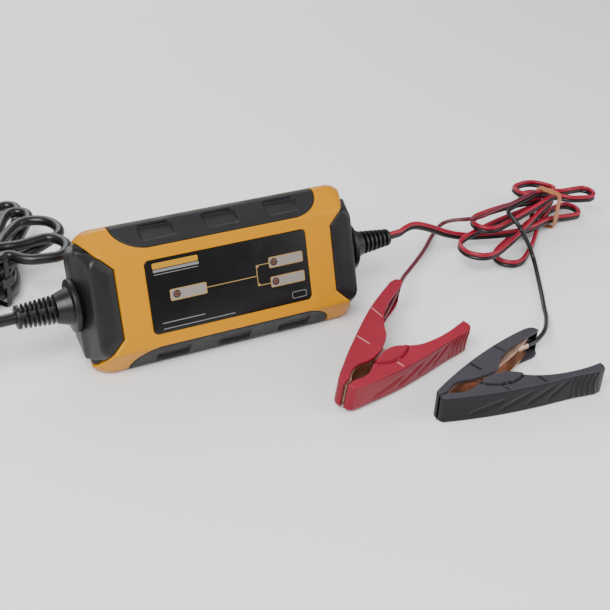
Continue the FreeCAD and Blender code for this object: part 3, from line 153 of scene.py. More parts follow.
def shader(name, color, roughness, metallic=0.0, coat=0.0, specular=0.5):
    """A material with its node tree and its shader node."""
    material = bpy.data.materials.new(name)
    material.use_nodes = True
    material.diffuse_color = (*color, 1)
    base = material.node_tree.nodes["Principled BSDF"]
    for label, value in (
        ("Base Color", (*color, 1)), ("Roughness", roughness), ("Metallic", metallic),
        ("Coat Weight", coat), ("Coat Roughness", COAT_ROUGHNESS), ("Specular IOR Level", specular),
    ):
        base.inputs[label].default_value = value
    return material, material.node_tree, base


def node_of(tree, kind, inputs, **settings):
    """A new node with these settings, each input set to a value or linked to another's output."""
    node = tree.nodes.new(kind)
    for label, value in settings.items():
        setattr(node, label, value)
    for label, value in inputs.items():
        if isinstance(value, bpy.types.NodeSocket):
            tree.links.new(value, node.inputs[label])
        else:
            node.inputs[label].default_value = value
    return node


def noise(tree, scale, detail, stretch=(1, 1, 1)):
    """Noise on object coordinates, scale in cells per metre, stretched along the axes."""
    where = tree.nodes.new("ShaderNodeTexCoord").outputs["Object"]
    place = node_of(tree, "ShaderNodeMapping", {"Vector": where, "Scale": stretch}).outputs["Vector"]
    values = {"Vector": place, "Scale": scale, "Detail": detail}
    return node_of(tree, "ShaderNodeTexNoise", values).outputs["Fac"]


def spread(tree, source, low, high, start=0.3, end=0.7):
    """A value's range from start to end spread over low to high."""
    values = {"Value": source, "From Min": start, "From Max": end, "To Min": low, "To Max": high}
    return node_of(tree, "ShaderNodeMapRange", values).outputs["Result"]


def between(tree, factor, first, second):
    """A colour between two, by factor. Either may be a plain colour or another node's output."""
    first, second = [(*color, 1) if isinstance(color, tuple) else color for color in (first, second)]
    values = {"Factor": factor, "A": first, "B": second}
    return node_of(tree, "ShaderNodeMix", values, data_type="RGBA").outputs["Result"]


def attribute(tree, name):
    """A value that is written on the piece's own points."""
    return node_of(tree, "ShaderNodeAttribute", {}, attribute_name=name).outputs["Fac"]


def linked(tree, base, tint, gloss, grain, depth):
    """Links a shader's colour, its roughness, and its grain as bumps of this depth in metres."""
    bump = node_of(tree, "ShaderNodeBump", {"Height": grain, "Distance": depth, "Strength": 1.0})
    for label, source in (("Base Color", tint), ("Roughness", gloss), ("Normal", bump.outputs["Normal"])):
        tree.links.new(source, base.inputs[label])


def shade(color, share):
    return tuple(part * share for part in color)


def moulded(name, color, roughness, grain, depth, coat=0.0, mottle=0.08, specular=0.5):
    """Moulded plastic or rubber: slight cloudiness in colour and gloss, over a fine grain."""
    material, tree, base = shader(name, color, roughness, coat=coat, specular=specular)
    cloud = spread(tree, noise(tree, CLOUD_SCALE, 4), 0, 1)
    tint = between(tree, cloud, shade(color, 1 - mottle), shade(color, 1 + mottle))
    gloss = spread(tree, noise(tree, CLOUD_SCALE * 3, 5), roughness * 0.85, roughness * 1.2)
    linked(tree, base, tint, gloss, noise(tree, grain, 2), depth)
    return material


def metal(name, color, roughness, stretch=(1, 1, 1), grain=900, depth=0.00001):
    """Metal with drawn or rolled marks along one direction and slightly darker patches."""
    material, tree, base = shader(name, color, roughness, metallic=1.0)
    dull = spread(tree, noise(tree, 130, 5), 0, 1)
    tint = between(tree, dull, color, shade(color, 1 - TARNISH))
    gloss = spread(tree, noise(tree, 260, 5), roughness * 0.75, roughness * 1.5)
    linked(tree, base, tint, gloss, noise(tree, grain, 2, stretch), depth)
    return material


def printed(name, color):
    """Ink on the label's film: thin, even, with a faint screen grain."""
    material, tree, base = shader(name, color, INK_ROUGHNESS)
    grain = spread(tree, noise(tree, SCREEN_GRAIN, 1), 0, 1)
    tree.links.new(between(tree, grain, shade(color, 0.93), color), base.inputs["Base Color"])
    return material


def cover_finish(name, face, wall, line_highlight, dull, glossy):
    """A clip cover. One value on its points tells its duller side faces, whose paler colour is a
    painted sheen, from its glossier back; where it falls in grooves, the back's darker colour there
    is painted shade. Another value tells where the red cross lines carry a painted highlight in a
    third colour."""
    material, tree, base = shader(name, face, dull, specular=0.22)
    cloud = spread(tree, noise(tree, 60, 4), 0, 1)
    walls = between(tree, cloud, shade(wall, 0.9), shade(wall, 1.12))
    faces = between(tree, cloud, shade(face, 0.92), shade(face, 1.08))
    matte_and_sheen = attribute(tree, "matte_and_sheen")
    tint = between(tree, attribute(tree, "line_highlight"), between(tree, matte_and_sheen, walls, faces), line_highlight)
    gloss = spread(tree, matte_and_sheen, glossy, dull, 0, 1)
    linked(tree, base, tint, gloss, noise(tree, COVER_GRAIN, 2), COVER_GRAIN_DEPTH)
    return material


# Colour, roughness, grain in cells per metre and its depth in metres, and what else is set
MOULDED = {
    "case_yellow": ((0.49, 0.2, 0.0), 0.34, 1400, 0.000006, dict(coat=0.03, mottle=0.03, specular=0.22)),
    "grip_charcoal": ((0.012, 0.0115, 0.013), 0.5, 5200, 0.00003, dict(mottle=0.12, specular=0.28)),
    "cap_charcoal": ((0.009, 0.0085, 0.0095), 0.4, 2600, 0.00002, dict(mottle=0.15, specular=0.35)),
    "label_black": ((0.003, 0.0028, 0.003), 0.24, 900, 0.000002, dict(mottle=0.1, specular=0.35)),
    "relief_rubber": ((0.006, 0.006, 0.0065), 0.36, 1800, 0.00001, dict(mottle=0.12, specular=0.35)),
    "cord_black": ((0.005, 0.005, 0.006), 0.34, 1500, 0.00001, dict(mottle=0.15, specular=0.4)),
    "lead_red": ((0.27, 0.004, 0.022), 0.34, 1500, 0.000008, dict(mottle=0.12, specular=0.35)),
    # A darker copy of lead_red: painted shade on the single red lead
    "lead_red_shaded": ((0.1, 0.006, 0.018), 0.34, 1500, 0.000008, dict(mottle=0.15, specular=0.35)),
    "plug_black": ((0.009, 0.009, 0.01), 0.42, 2200, 0.00002, dict(mottle=0.12)),
    "tie_plastic": ((0.36, 0.12, 0.045), 0.42, 2500, 0.00001, dict(mottle=0.15)),
    "lamp_lens": ((0.09, 0.03, 0.018), 0.2, 900, 0.000002, dict(coat=0.4, mottle=0.2)),
    "board_green": ((0.01, 0.09, 0.03), 0.35, 1500, 0.00001, dict(coat=0.3, mottle=0.1)),
    "chip_white": ((0.8, 0.8, 0.75), 0.4, 2000, 0.00001, {}),
    "ferrite_grey": ((0.05, 0.05, 0.055), 0.6, 2500, 0.00003, dict(mottle=0.2)),
    "winding_tape": ((0.65, 0.45, 0.03), 0.3, 1200, 0.00002, dict(mottle=0.1)),
    "can_sleeve": ((0.01, 0.014, 0.03), 0.3, 1200, 0.00001, dict(coat=0.3)),
    "box_capacitor": ((0.5, 0.36, 0.02), 0.35, 1800, 0.00001, {}),
    "device_black": ((0.015, 0.015, 0.015), 0.5, 3500, 0.00002, {}),
    "wire_insulation": ((0.15, 0.05, 0.015), 0.4, 1500, 0.00001, {}),
    "fuse_glass": ((0.7, 0.75, 0.75), 0.08, 500, 0.000001, dict(coat=0.5)),
}
# Colour, roughness, how the grain is stretched, its cells per metre and its depth in metres
METALS = {
    "zinc_steel": ((0.6, 0.6, 0.62), 0.3),
    "spring_steel": ((0.62, 0.62, 0.64), 0.22, (1, 1, 1), 1500),
    "jaw_copper": ((0.62, 0.39, 0.29), 0.4, (1, 1, 6), 1200, 0.000012),
    "tinned_brass": ((0.72, 0.56, 0.34), 0.25, (1, 1, 1), 1200),
    "sink_aluminium": ((0.6, 0.6, 0.62), 0.4, (8, 1, 1), 700, 0.00002),
}
# Colours of the side faces, paler by a painted sheen, of the back, also laid in the grooves as
# painted shade, and of the cross lines' painted highlight, and the roughness of the first two
COVERS = {
    "clip_red": ((0.24, 0.011, 0.027), (0.19, 0.006, 0.018), (0.5, 0.2, 0.2), 0.5, 0.32),
    "clip_black": ((0.036, 0.034, 0.042), (0.008, 0.008, 0.01), (0.006, 0.006, 0.007), 0.52, 0.3),
}
PRINTS = {
    "print_cream": (0.32, 0.2, 0.07),
    "print_panel": (0.22, 0.195, 0.18),
    "print_gold": (0.42, 0.2, 0.004),
    "print_grey": (0.17, 0.17, 0.18),
}
FINISHES = {name: moulded(name, *row[:-1], **row[-1]) for name, row in MOULDED.items()}
FINISHES.update({name: metal(name, *row) for name, row in METALS.items()})
FINISHES.update({name: cover_finish(name, *row) for name, row in COVERS.items()})
FINISHES.update({name: printed(name, color) for name, color in PRINTS.items()})

# Nodes whose finish isn't the one of their slot's name
OWN_FINISHES = {
    "output_lead": "cord_black", "output_hank": "cord_black", "mains_tie": "cord_black",
    "black_crimp": "jaw_copper",
}

# The finish of every node that is shown as it is
for subpart in frame["record"]["subparts"]:
    node = frame["nodes"][subpart["node"]]
    finish = OWN_FINISHES.get(subpart["node"], subpart["material_slot"])
    node.data.materials.clear()
    node.data.materials.append(FINISHES[finish])

# Mesh tools


def quads(rows, columns, wrap=False, keep=None):
    """The faces of a grid of points: each is four point numbers, row by row."""
    last = columns if wrap else columns - 1
    row, column = np.meshgrid(np.arange(rows - 1), np.arange(last), indexing="ij")
    after = (column + 1) % columns
    faces = np.stack([
        row * columns + column,
        row * columns + after,
        (row + 1) * columns + after,
        (row + 1) * columns + column,
    ], axis=-1)
    if keep is not None:
        faces = faces[keep]
    return faces.reshape(-1, 4)


def unit(vectors):
    return vectors / np.maximum(np.linalg.norm(vectors, axis=-1, keepdims=True), 1e-9)


def grid_normals(points, wrap=False):
    """Unit normals of a grid: the cross product of its differences along columns and rows."""
    down = np.gradient(points, axis=0)
    if wrap:
        across = np.roll(points, -1, axis=1) - np.roll(points, 1, axis=1)
    else:
        across = np.gradient(points, axis=1)
    return unit(np.cross(down, across))


def smooth(value):
    """0 below 0, 1 above 1 and the smooth step 3v^2 - 2v^3 between."""
    value = np.clip(value, 0, 1)
    return value * value * (3 - 2 * value)


def fillet(distance, radius):
    """How far a quarter round of this radius lies below the surface at a distance from its edge."""
    left = radius - np.clip(distance, 0, radius)
    return radius - np.sqrt(radius * radius - left * left)


def walled(outer, inner, faces=None):
    """A closed wall between two grids of points: the outer faces, those of the whole grid if none
    are given, the inner ones turned round, and a rim along each open edge."""
    rows, columns = outer.shape[:2]
    count = rows * columns
    if faces is None:
        faces = quads(rows, columns)
    starts = faces.ravel()
    ends = np.roll(faces, -1, axis=1).ravel()
    open_edge = ~np.isin(starts * count + ends, ends * count + starts)
    rim = np.stack([ends, starts, starts + count, ends + count], axis=1)[open_edge]
    points = np.concatenate([outer.reshape(-1, 3), inner.reshape(-1, 3)])
    return points, np.concatenate([faces, faces[:, ::-1] + count, rim])


def tube_faces(loops, sides):
    """The faces of a tube made of loops of points, closed by one face at each end."""
    first = tuple(range(sides))
    last = tuple(range((loops - 1) * sides, loops * sides))
    return [*quads(loops, sides, wrap=True), first, last]


def stacked(*parts):
    """Several parts as one: their points together and their faces renumbered."""
    points = []
    faces = []
    count = 0
    for part_points, part_faces in parts:
        points.append(np.asarray(part_points, float).reshape(-1, 3))
        faces += [tuple(int(corner) + count for corner in face) for face in part_faces]
        count += len(points[-1])
    return np.concatenate(points), faces


def points_of(mesh):
    """The points of a mesh, one to a row."""
    line = np.empty(len(mesh.vertices) * 3)
    mesh.vertices.foreach_get("co", line)
    return line.reshape(-1, 3)


def settled(piece, body, nodes):
    """A piece that rides on a body and replaces these nodes, if there are any."""
    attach(piece, body)
    if nodes:
        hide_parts(*nodes)
    return piece


def meshed(name, points, faces, finishes, sharp, weld=0.0, values=None):
    """An object from points in metres: welded, its faces outwards, sharp edges kept.
    Values are numbers on its points, by the name that a material reads them by."""
    mesh = bpy.data.meshes.new(name)
    mesh.from_pydata(points.tolist(), [], [tuple(map(int, face)) for face in faces])
    for label, numbers in (values or {}).items():
        layer = mesh.attributes.new(label, "FLOAT", "POINT")
        layer.data.foreach_set("value", np.ravel(numbers).astype(np.float32))
    shape = bmesh.new()
    shape.from_mesh(mesh)
    if weld:
        bmesh.ops.remove_doubles(shape, verts=shape.verts, dist=weld)
    bmesh.ops.recalc_face_normals(shape, faces=shape.faces)
    shape.to_mesh(mesh)
    shape.free()
    mesh.polygons.foreach_set("use_smooth", np.ones(len(mesh.polygons), bool))
    mesh.set_sharp_from_angle(angle=math.radians(sharp))
    for finish in finishes:
        mesh.materials.append(FINISHES[finish])
    return added(name, mesh)


WELD = 2e-6


def make(name, part, finish, place, *nodes, body=ROOT, slot=None, sharp=40, values=None):
    """A piece from a place's points and their faces, which replaces the nodes. Its slot argument
    is not used."""
    points, faces = part
    piece = meshed(name, placed(points, place) * MM, faces, [finish], sharp, WELD, values)
    return settled(piece, body, nodes)


def spaced(start, end, step, close=0.9):
    """Values about step apart from start to end, with a few close ones near both ends."""
    inside = np.linspace(start + close, end - close, max(2, int(round((end - start) / step))))
    near = np.array((0, 0.05, 0.14, 0.27, 0.45, 0.66)) * close
    return np.concatenate([start + near, inside, (end - near)[::-1]])


# Cords
# The routes are the centre lines' control points in millimetres.


# A loop's narrow end as a share of its length, then by half its width: how far its shoulders are
# from its far end, how far its turn bulges past it, and how far each point is to the side
LOOP_NARROW = 0.45
LOOP_SHOULDER = 0.42
LOOP_BULGE = 0.16
LOOP_SIDES = (-0.72, -0.92, -1, 0, 1, 0.92, 0.72)


def hank_loop(waist, direction, length, width, height):
    """One flat loop of a hank: seven points out along direction and back round its far end."""
    along, across = level_axes(direction)
    half = width / 2
    narrow = LOOP_NARROW * length
    shoulder = length - LOOP_SHOULDER * half
    middle = (narrow + shoulder) / 2
    turn = length + LOOP_BULGE * half
    reach = np.array((narrow, middle, shoulder, turn, shoulder, middle, narrow))
    side = np.array(LOOP_SIDES) * half
    return waist + np.outer(reach, along) + np.outer(side, across) + (0, 0, height)


def hank_points(waist, direction, half_waist, half_gap, floor, rise, right_loops, left_loops):
    """A hank's points: right and left loops in turn, each pass through the tie on its own level."""
    along, across = level_axes(direction)
    reach = along * half_waist
    right_levels = floor + rise * np.arange(4)
    left_levels = floor + rise * np.array((0, 2, 3, 4))
    level_before = floor + rise
    low_side = waist - across * (half_gap + rise)
    high_side = waist + across * half_gap
    points = []
    for turn, right in enumerate(right_loops):
        points.append(low_side - reach + (0, 0, level_before))
        points.append(low_side + reach + (0, 0, right_levels[turn]))
        points.extend(hank_loop(waist, *right, right_levels[turn]))
        points.append(high_side + reach + (0, 0, right_levels[turn]))
        points.append(high_side - reach + (0, 0, left_levels[turn]))
        if turn < len(left_loops):
            points.extend(hank_loop(waist, *left_loops[turn], left_levels[turn]))
        level_before = left_levels[turn]
        low_side = waist - across * half_gap
    return points


RELIEF_INNER = 68.2
RELIEF_DEPTH = 20
MAINS_EXIT = placed((-RELIEF_INNER, 0, -RELIEF_DEPTH), CASE)
OUTPUT_EXIT = placed((RELIEF_INNER, 0, -RELIEF_DEPTH), CASE)
CORD_DIAMETER = 6
WIRE_DIAMETER = 2.6
TWIN_RISE = 2.45

MAINS_WAIST = np.array((-103, 74, 0))
MAINS_DIRECTION = 35
MAINS_HALF_GAP = 4.4
MAINS_FLOOR = 4.2
MAINS_RISE = 6.8
MAINS_ROUTE = [
    MAINS_EXIT,
    (-116, MAINS_EXIT[1], MAINS_EXIT[2]),
    (-136, 3.3, 31),
    (-158, 8, 27),
    (-173, 22, 21),
    (-176, 42, 14),
    (-163, 58, 11),
    (-141, 62, 11),
    (-122, 59, 11),
    *hank_points(
        MAINS_WAIST, MAINS_DIRECTION, 12, MAINS_HALF_GAP, MAINS_FLOOR, MAINS_RISE,
        ((70, 98, 15), (63, 78, 15), (42, 60, 28), (0, 44, 22)),
        ((172, 62, 30), (160, 62, 30), (148, 62, 30)),
    ),
    (-130, 60, 31.6),
    (-150, 70, 31),
    (-172, 84, 26),
    (-188, 100, 14.5),
    (-196, 118, 7),
    (-198, 136, 7),
]

LEAD_WAIST = np.array((232.5, 30, 0))
LEAD_DIRECTION = 25
LEAD_HALF_GAP = 2.9
LEAD_FLOOR = 3.3
LEAD_RISE = 4.9
LEAD_ROUTE = [
    OUTPUT_EXIT,
    (109, OUTPUT_EXIT[1], OUTPUT_EXIT[2]),
    (116, 8, 32),
    (126, 13.5, 30),
    (140, 17, 23),
    (154, 20, 14.5),
    (168, 21, 9),
    (182, 18.5, 8),
    (196, 15, 8.1),
    (212, 14, 8.2),
    *hank_points(
        LEAD_WAIST, LEAD_DIRECTION, 8, LEAD_HALF_GAP, LEAD_FLOOR, LEAD_RISE,
        ((4, 30, 15), (68, 25, 18), (68, 29, 27), (-10, 34, 13)),
        ((-146, 64, 18), (-157, 84, 24), (-166, 62, 18)),
    ),
]
PARTING = LEAD_ROUTE[-1]

RED_ROUTE = (
    (200.8, 20.2, 25.4),
    (192.6, 19.1, 25.4),
    (183.6, 17.4, 24.5),
    (174.1, 15.8, 23.5),
    (166.6, 19.1, 22),
    (169, 34.9, 13),
    (168.5, 45.9, 5),
    (156.1, 37.3, 3),
    (141.9, 22.8, 4),
    (121.6, 5, 7),
    (109.1, -5.5, 9),
)
BLACK_ROUTE = (
    (201.4, 21.2, 21.7),
    (195.6, 18.7, 21.7),
    (194.4, 9.3, 21.7),
    (191, -2.3, 21.7),
    (194.7, -3.9, 15),
    (198.1, -6.2, 8),
    (198, -11.2, 2.5),
    (190.1, -25.5, 1.5),
    (180, -42.8, 1.5),
    (174.3, -51.9, 1.5),
    (167.4, -63.2, 3),
)
# The last stretch of a lead, into its crimp, in the clip's own frame
CLIP_ROUTE = {
    "red": ((62, 24.6, 0), (54, 22.8, 0), (45, 20.4, 0), (38, 18.6, 0), (33, 17.6, 0)),
    "black": ((59, 21.9, 0), (49, 17.4, 0), (44, 16.6, 0), (32, 16.6, 0)),
}

LEAD_SPLIT = 1.35
SPLINE_ORDER = 3
SPLINE_STEPS = 12
BEVEL_STEPS = 7
# How far each wire of the twin lead reaches past its half, into the other, in metres
TWIN_OVERLAP = 2e-5


def spline(name, route, bevel=0.0):
    """A curve of one smooth spline with the route's points as its control points."""
    curve = bpy.data.curves.new(name, "CURVE")
    curve.dimensions = "3D"
    line = curve.splines.new("NURBS")
    line.points.add(len(route) - 1)
    controls = np.ones((len(route), 4))
    controls[:, :3] = np.array(route, float) * MM
    line.points.foreach_set("co", controls.ravel())
    line.order_u = SPLINE_ORDER
    line.use_endpoint_u = True
    line.resolution_u = SPLINE_STEPS
    curve.resolution_u = SPLINE_STEPS
    curve.bevel_depth = bevel
    curve.bevel_resolution = BEVEL_STEPS
    curve.use_fill_caps = bevel > 0
    return added(name, curve)


def spline_line(route):
    """Points along the route's spline, in metres, close together."""
    piece = spline("line", route)
    mesh = bpy.data.meshes.new_from_object(piece)
    line = points_of(mesh)
    curve = piece.data
    bpy.data.objects.remove(piece)
    bpy.data.curves.remove(curve)
    bpy.data.meshes.remove(mesh)
    return line


def round_cord(name, route, diameter, finish, slot, *nodes):
    """A round cord along a route, which replaces the nodes."""
    piece = spline(name, route, diameter / 2 * MM)
    piece.data.materials.append(FINISHES[finish])
    return settled(piece, ROOT, nodes)


def ringed(line, offset, radius, sides=20):
    """A tube of rings round a line moved by offset upwards, square to the line."""
    ahead = unit(np.gradient(line, axis=0))
    up = unit(np.array((0, 0, 1.0)) - ahead * ahead[:, 2:])
    side = np.cross(ahead, up)
    turn = np.linspace(0, 2 * math.pi, sides, endpoint=False)
    ring = np.cos(turn)[None, :, None] * side[:, None, :] + np.sin(turn)[None, :, None] * up[:, None, :]
    return line[:, None, :] + up[:, None, :] * offset + ring * radius, tube_faces(len(line), sides)


def twin_lead(name, route):
    """The twin lead: a red wire on top of a black one, joined along their touching sides."""
    line = spline_line(route)
    half = TWIN_RISE / 2 * MM
    wires = [ringed(line, offset, half + TWIN_OVERLAP) for offset in (half, -half)]
    piece = meshed(name, *stacked(*wires), ["lead_red", "cord_black"], sharp=50)
    polygons = piece.data.polygons
    polygons.foreach_set("material_index", np.repeat((0, 1), len(polygons) // 2))
    return settled(piece, ROOT, ("output_lead", "output_hank")), line


mains = round_cord(
    "mains_flex", MAINS_ROUTE, CORD_DIAMETER, "cord_black", "cord_black", "mains_cord", "mains_hank")
twin, twin_line = twin_lead("twin_flex", LEAD_ROUTE)
# The single red lead takes the darker copy of its red, a painted shade
for colour, side, route, finish, slot in (
    ("red", 1, RED_ROUTE, "lead_red_shaded", "lead_red"),
    ("black", -1, BLACK_ROUTE, "cord_black", "cord_black"),
):
    start = PARTING + np.array((0, 0, side * LEAD_SPLIT))
    ending = placed(CLIP_ROUTE[colour], CLIPS[colour])
    round_cord(
        colour + "_flex", [start, *route, *ending], WIRE_DIAMETER, finish, slot, colour + "_lead")

# Case skin
# A point of the case's skin is given by two lengths in millimetres: along runs from the label
# outwards over the front, down the slope and round the side to the back; reach runs round the
# outline at that place, from the middle of its right side up to the middle of its top.

SEAM = 0.1
EDGE_ROUND = 0.6
WALL = 2.4
LABEL_EDGE = -20.0
CAP_START = -12.2
FRONT_EDGE = 0.0
RIM = 16.3
PARTING_LINE = 20.3
BACK_END = 60.5
# Each level: along, half length, half height, corner radius, depth, how far its bend is rounded
LEVELS = np.array([
    (LABEL_EDGE, 43.4, 18.7, 2.6, 0, 0.1),
    (CAP_START, 58.3, 20.6, 2.9, 0, 0.1),
    (FRONT_EDGE, 70.5, 25, 7, 0, 2.6),
    (RIM, 73.5, 36, 12, -12, 2.0),
    (PARTING_LINE, 75.5, 36, 12, -16, 1.2),
    (45.8, 73, 27.27, 9, -40, 3.0),
    (BACK_END, 58.3, 21, 3, -40, 0.1),
])
CAP_STEP = 40.7
CAP_FRONT_REACH = 14.0
CAP_FLAT = 17.6
CAP_ROUND = 1.1
CAP_BEVEL = 3.4
CAP_BEVEL_SINK = 0.9
# The distance square to a cap's slanting seam, as a share of the one round the outline
SEAM_SLANT = 0.8
GRIP_HALF_LENGTH = 37.0
GRIP_BASE = 25.0
GRIP_END = 18.5
GRIP_RISE = 11.0
PAD_HALF_LENGTH = 8.6
PAD_HALF_HEIGHT = 4.7
PAD_CORNER = 1.9
PAD_PITCH = 33.6
PAD_SHIFT = 0.8
PAD_ALONG = 9.4
PAD_SINK = 1.15


def eased(past, width):
    """The ramp max(past, 0) with its corner rounded by a parabola over width to each side."""
    rounded = (past + width) ** 2 / (4 * width)
    return np.where(np.abs(past) < width, rounded, np.maximum(past, 0))


def case_level(along):
    """Half length, half height, corner and depth at along: straight from level to level, bends eased."""
    slopes = np.diff(LEVELS[:, 1:5], axis=0) / np.diff(LEVELS[:, 0])[:, None]
    level = LEVELS[0, 1:5] + (along - LEVELS[0, 0])[..., None] * slopes[0]
    for number, width in enumerate(LEVELS[1:-1, 5], start=1):
        past = eased(along - LEVELS[number, 0], width)
        level = level + past[..., None] * (slopes[number] - slopes[number - 1])
    return np.moveaxis(level, -1, 0)


def outline(level, reach):
    """Points of a rounded outline: up the side, round the corner by reach / corner, in along the top."""
    half_length, half_height, corner, depth = level
    side = half_height - corner
    turn = np.clip((reach - side) / corner, 0, math.pi / 2)
    past = np.maximum(reach - side - corner * math.pi / 2, 0)
    x = half_length - corner + corner * np.cos(turn) - past
    y = np.minimum(reach, side) + corner * np.sin(turn)
    return np.stack(np.broadcast_arrays(x, y, depth), axis=-1)


def quarter(level):
    """The length of a quarter of an outline."""
    half_length, half_height, corner, depth = level
    return half_height - corner + corner * math.pi / 2 + half_length - corner


def cap_reach(along, level):
    """Where the end cap's seam crosses an outline: at x = y + CAP_STEP, on its side or in its corner."""
    half_length, half_height, corner, depth = level
    side = half_height - corner
    on_side = half_length - CAP_STEP
    cosine = (side - half_length + corner + CAP_STEP) / (corner * math.sqrt(2))
    in_corner = side + corner * (np.arccos(np.clip(cosine, -1, 1)) - math.pi / 4)
    seam = np.where(on_side <= side, on_side, in_corner)
    share = np.clip((along - LABEL_EDGE) / (CAP_START - LABEL_EDGE), 0, 1)
    before = CAP_FRONT_REACH + (CAP_FLAT - CAP_FRONT_REACH) * share
    return np.where(along < CAP_START, before, seam)


def grip_length(height):
    """Half the grip's length at a height on the case: its end is a quarter of an ellipse."""
    share = np.clip((height - GRIP_BASE) / GRIP_RISE, 0, 1)
    return GRIP_HALF_LENGTH + GRIP_END * np.sqrt(1 - (1 - share) ** 2)


def steepness(limit, rows):
    """How much longer a step across a slanting edge is than the distance square to it."""
    return np.sqrt(1 + np.gradient(limit, rows) ** 2)


def joined_steps(*stretches):
    """Steps of several stretches that follow each other, each shared end once."""
    return np.concatenate([stretches[0]] + [stretch[1:] for stretch in stretches[1:]])


def both_skins(points, depth, wall=WALL, wrap=False):
    """A grid sunk along its normals by depth, and the same grid a wall's thickness lower."""
    normal = grid_normals(points, wrap)
    return points - normal * depth[..., None], points - normal * wall


def front_skin():
    """The front shell: everything round the label, and the four ears between grips and caps."""
    rows = joined_steps(
        spaced(LABEL_EDGE, CAP_START - SEAM, 1.3),
        spaced(CAP_START - SEAM, FRONT_EDGE - SEAM, 1.5),
        spaced(FRONT_EDGE - SEAM, PARTING_LINE - SEAM / 2, 0.9),
    )
    share = {
        "cap": np.linspace(0, 1, 14),
        "ear": spaced(0, 22, 0.8) / 22,
        "grip": spaced(0, 36, 1.6) / 36,
    }
    level = case_level(rows)[:, :, None]
    first = (cap_reach(rows, level[:, :, 0]) + SEAM)[:, None]
    last = (quarter(level[:, :, 0]) - grip_length(level[1, :, 0]) - SEAM)[:, None]
    whole = quarter(level)
    reach = np.concatenate([
        first * share["cap"],
        (first + (last - first) * share["ear"])[:, 1:],
        (last + (whole - last) * share["grip"])[:, 1:],
    ], axis=1)
    along = rows[:, None]
    corner_points = outline(level, reach)
    past_cap = np.hypot(SEAM_SLANT * np.maximum(reach - first, 0), np.maximum(CAP_START - SEAM - along, 0))
    from_grip = np.maximum(last - reach, 0) / steepness(last[:, 0], rows)[:, None]
    past_grip = np.hypot(from_grip, np.maximum(FRONT_EDGE - SEAM - along, 0))
    to_edge = np.minimum(past_grip, np.minimum(along - LABEL_EDGE, PARTING_LINE - along))
    depth = np.maximum(fillet(to_edge, EDGE_ROUND), fillet(past_cap, CAP_ROUND))
    rounds = len(reach[0]) - 1
    zone = np.repeat((0, 1, 2), (len(share["cap"]) - 1, len(share["ear"]) - 1, len(share["grip"]) - 1))

    def around(grid, flips):
        """A quarter's grid carried round all four corners, each shared column once."""
        turned = []
        for number, flip in enumerate(flips):
            part = grid if number % 2 == 0 else grid[:, ::-1]
            turned.append(part[:, :rounds] * flip)
        return np.concatenate(turned, axis=1)

    signs = [np.array(sign) for sign in ((1, 1, 1), (-1, 1, 1), (-1, -1, 1), (1, -1, 1))]
    points = around(corner_points, signs)
    depth = around(depth, (1, 1, 1, 1))
    zones = np.concatenate([zone, zone[::-1]] * 2)
    # Round the label every face is kept, on the front all but the caps', on the slope the ears'
    limits = (CAP_START - SEAM + 1e-6, FRONT_EDGE - SEAM + 1e-6)
    stretch = np.searchsorted(limits, rows[1:])[:, None]
    keep = (stretch == 0) | ((stretch == 1) & (zones > 0)) | ((stretch == 2) & (zones == 1))
    outer, inner = both_skins(points, depth, wrap=True)
    return walled(outer, inner, quads(len(rows), points.shape[1], wrap=True, keep=keep))


def used_only(part):
    """A part without the points that none of its faces use."""
    points, faces = part
    used = np.unique(np.concatenate([np.ravel(face) for face in faces]))
    number = np.zeros(len(points), int)
    number[used] = np.arange(len(used))
    return points[used], [tuple(number[list(face)]) for face in faces]


# The step in a cap's end wall. Each pair is where it changes and over what length: it begins at a
# height, grows shallower above another, and begins and ends along the skin
END_STEP = 1.7
STEP_LOW = (26.5, 1.4)
STEP_HIGH = (29.3, 1.2)
STEP_SHALLOWER = 0.7
STEP_FRONT = (7, 5)
STEP_BACK = (44, 6)


def rising(value, start, length):
    """0 up to start, 1 from a length past it, and the smooth step between."""
    return smooth((value - start) / length)


def cap_skin(side):
    """An end cap: the skin past its seam; its end wall stands proud between the two grips' ears."""
    rows = joined_steps(
        spaced(CAP_START + SEAM, FRONT_EDGE, 1.0),
        spaced(FRONT_EDGE, BACK_END - SEAM, 1.0),
    )
    columns = spaced(-1, 1, 0.035, 0.03)
    level = case_level(rows)[:, :, None]
    limit = (cap_reach(rows, level[:, :, 0]) - SEAM)[:, None]
    reach = limit * columns
    along = rows[:, None]
    points = outline(level, np.abs(reach))
    points[..., 1] *= np.sign(reach)
    to_seam = np.minimum(SEAM_SLANT * (limit - np.abs(reach)), along - CAP_START - SEAM)
    to_edge = np.minimum(to_seam, BACK_END - SEAM - along)
    height = np.abs(points[..., 1])
    step = END_STEP * rising(height, *STEP_LOW) * (1 - STEP_SHALLOWER * rising(height, *STEP_HIGH))
    step = step * rising(along, *STEP_FRONT) * smooth((STEP_BACK[0] - along) / STEP_BACK[1])
    bevel = CAP_BEVEL_SINK * np.maximum(1 - to_edge / CAP_BEVEL, 0)
    depth = fillet(to_edge, EDGE_ROUND) + bevel + step
    points, faces = walled(*both_skins(points, depth, WALL + END_STEP))
    return points * (side, 1, 1), faces


# How wide a pad's wall is, how much deeper its floor gets towards its rear edge, as a share, and
# how many times rounder a grip's edge is than the shells'
PAD_WALL = 0.7
PAD_SLANT = 0.45
GRIP_ROUND = 1.3


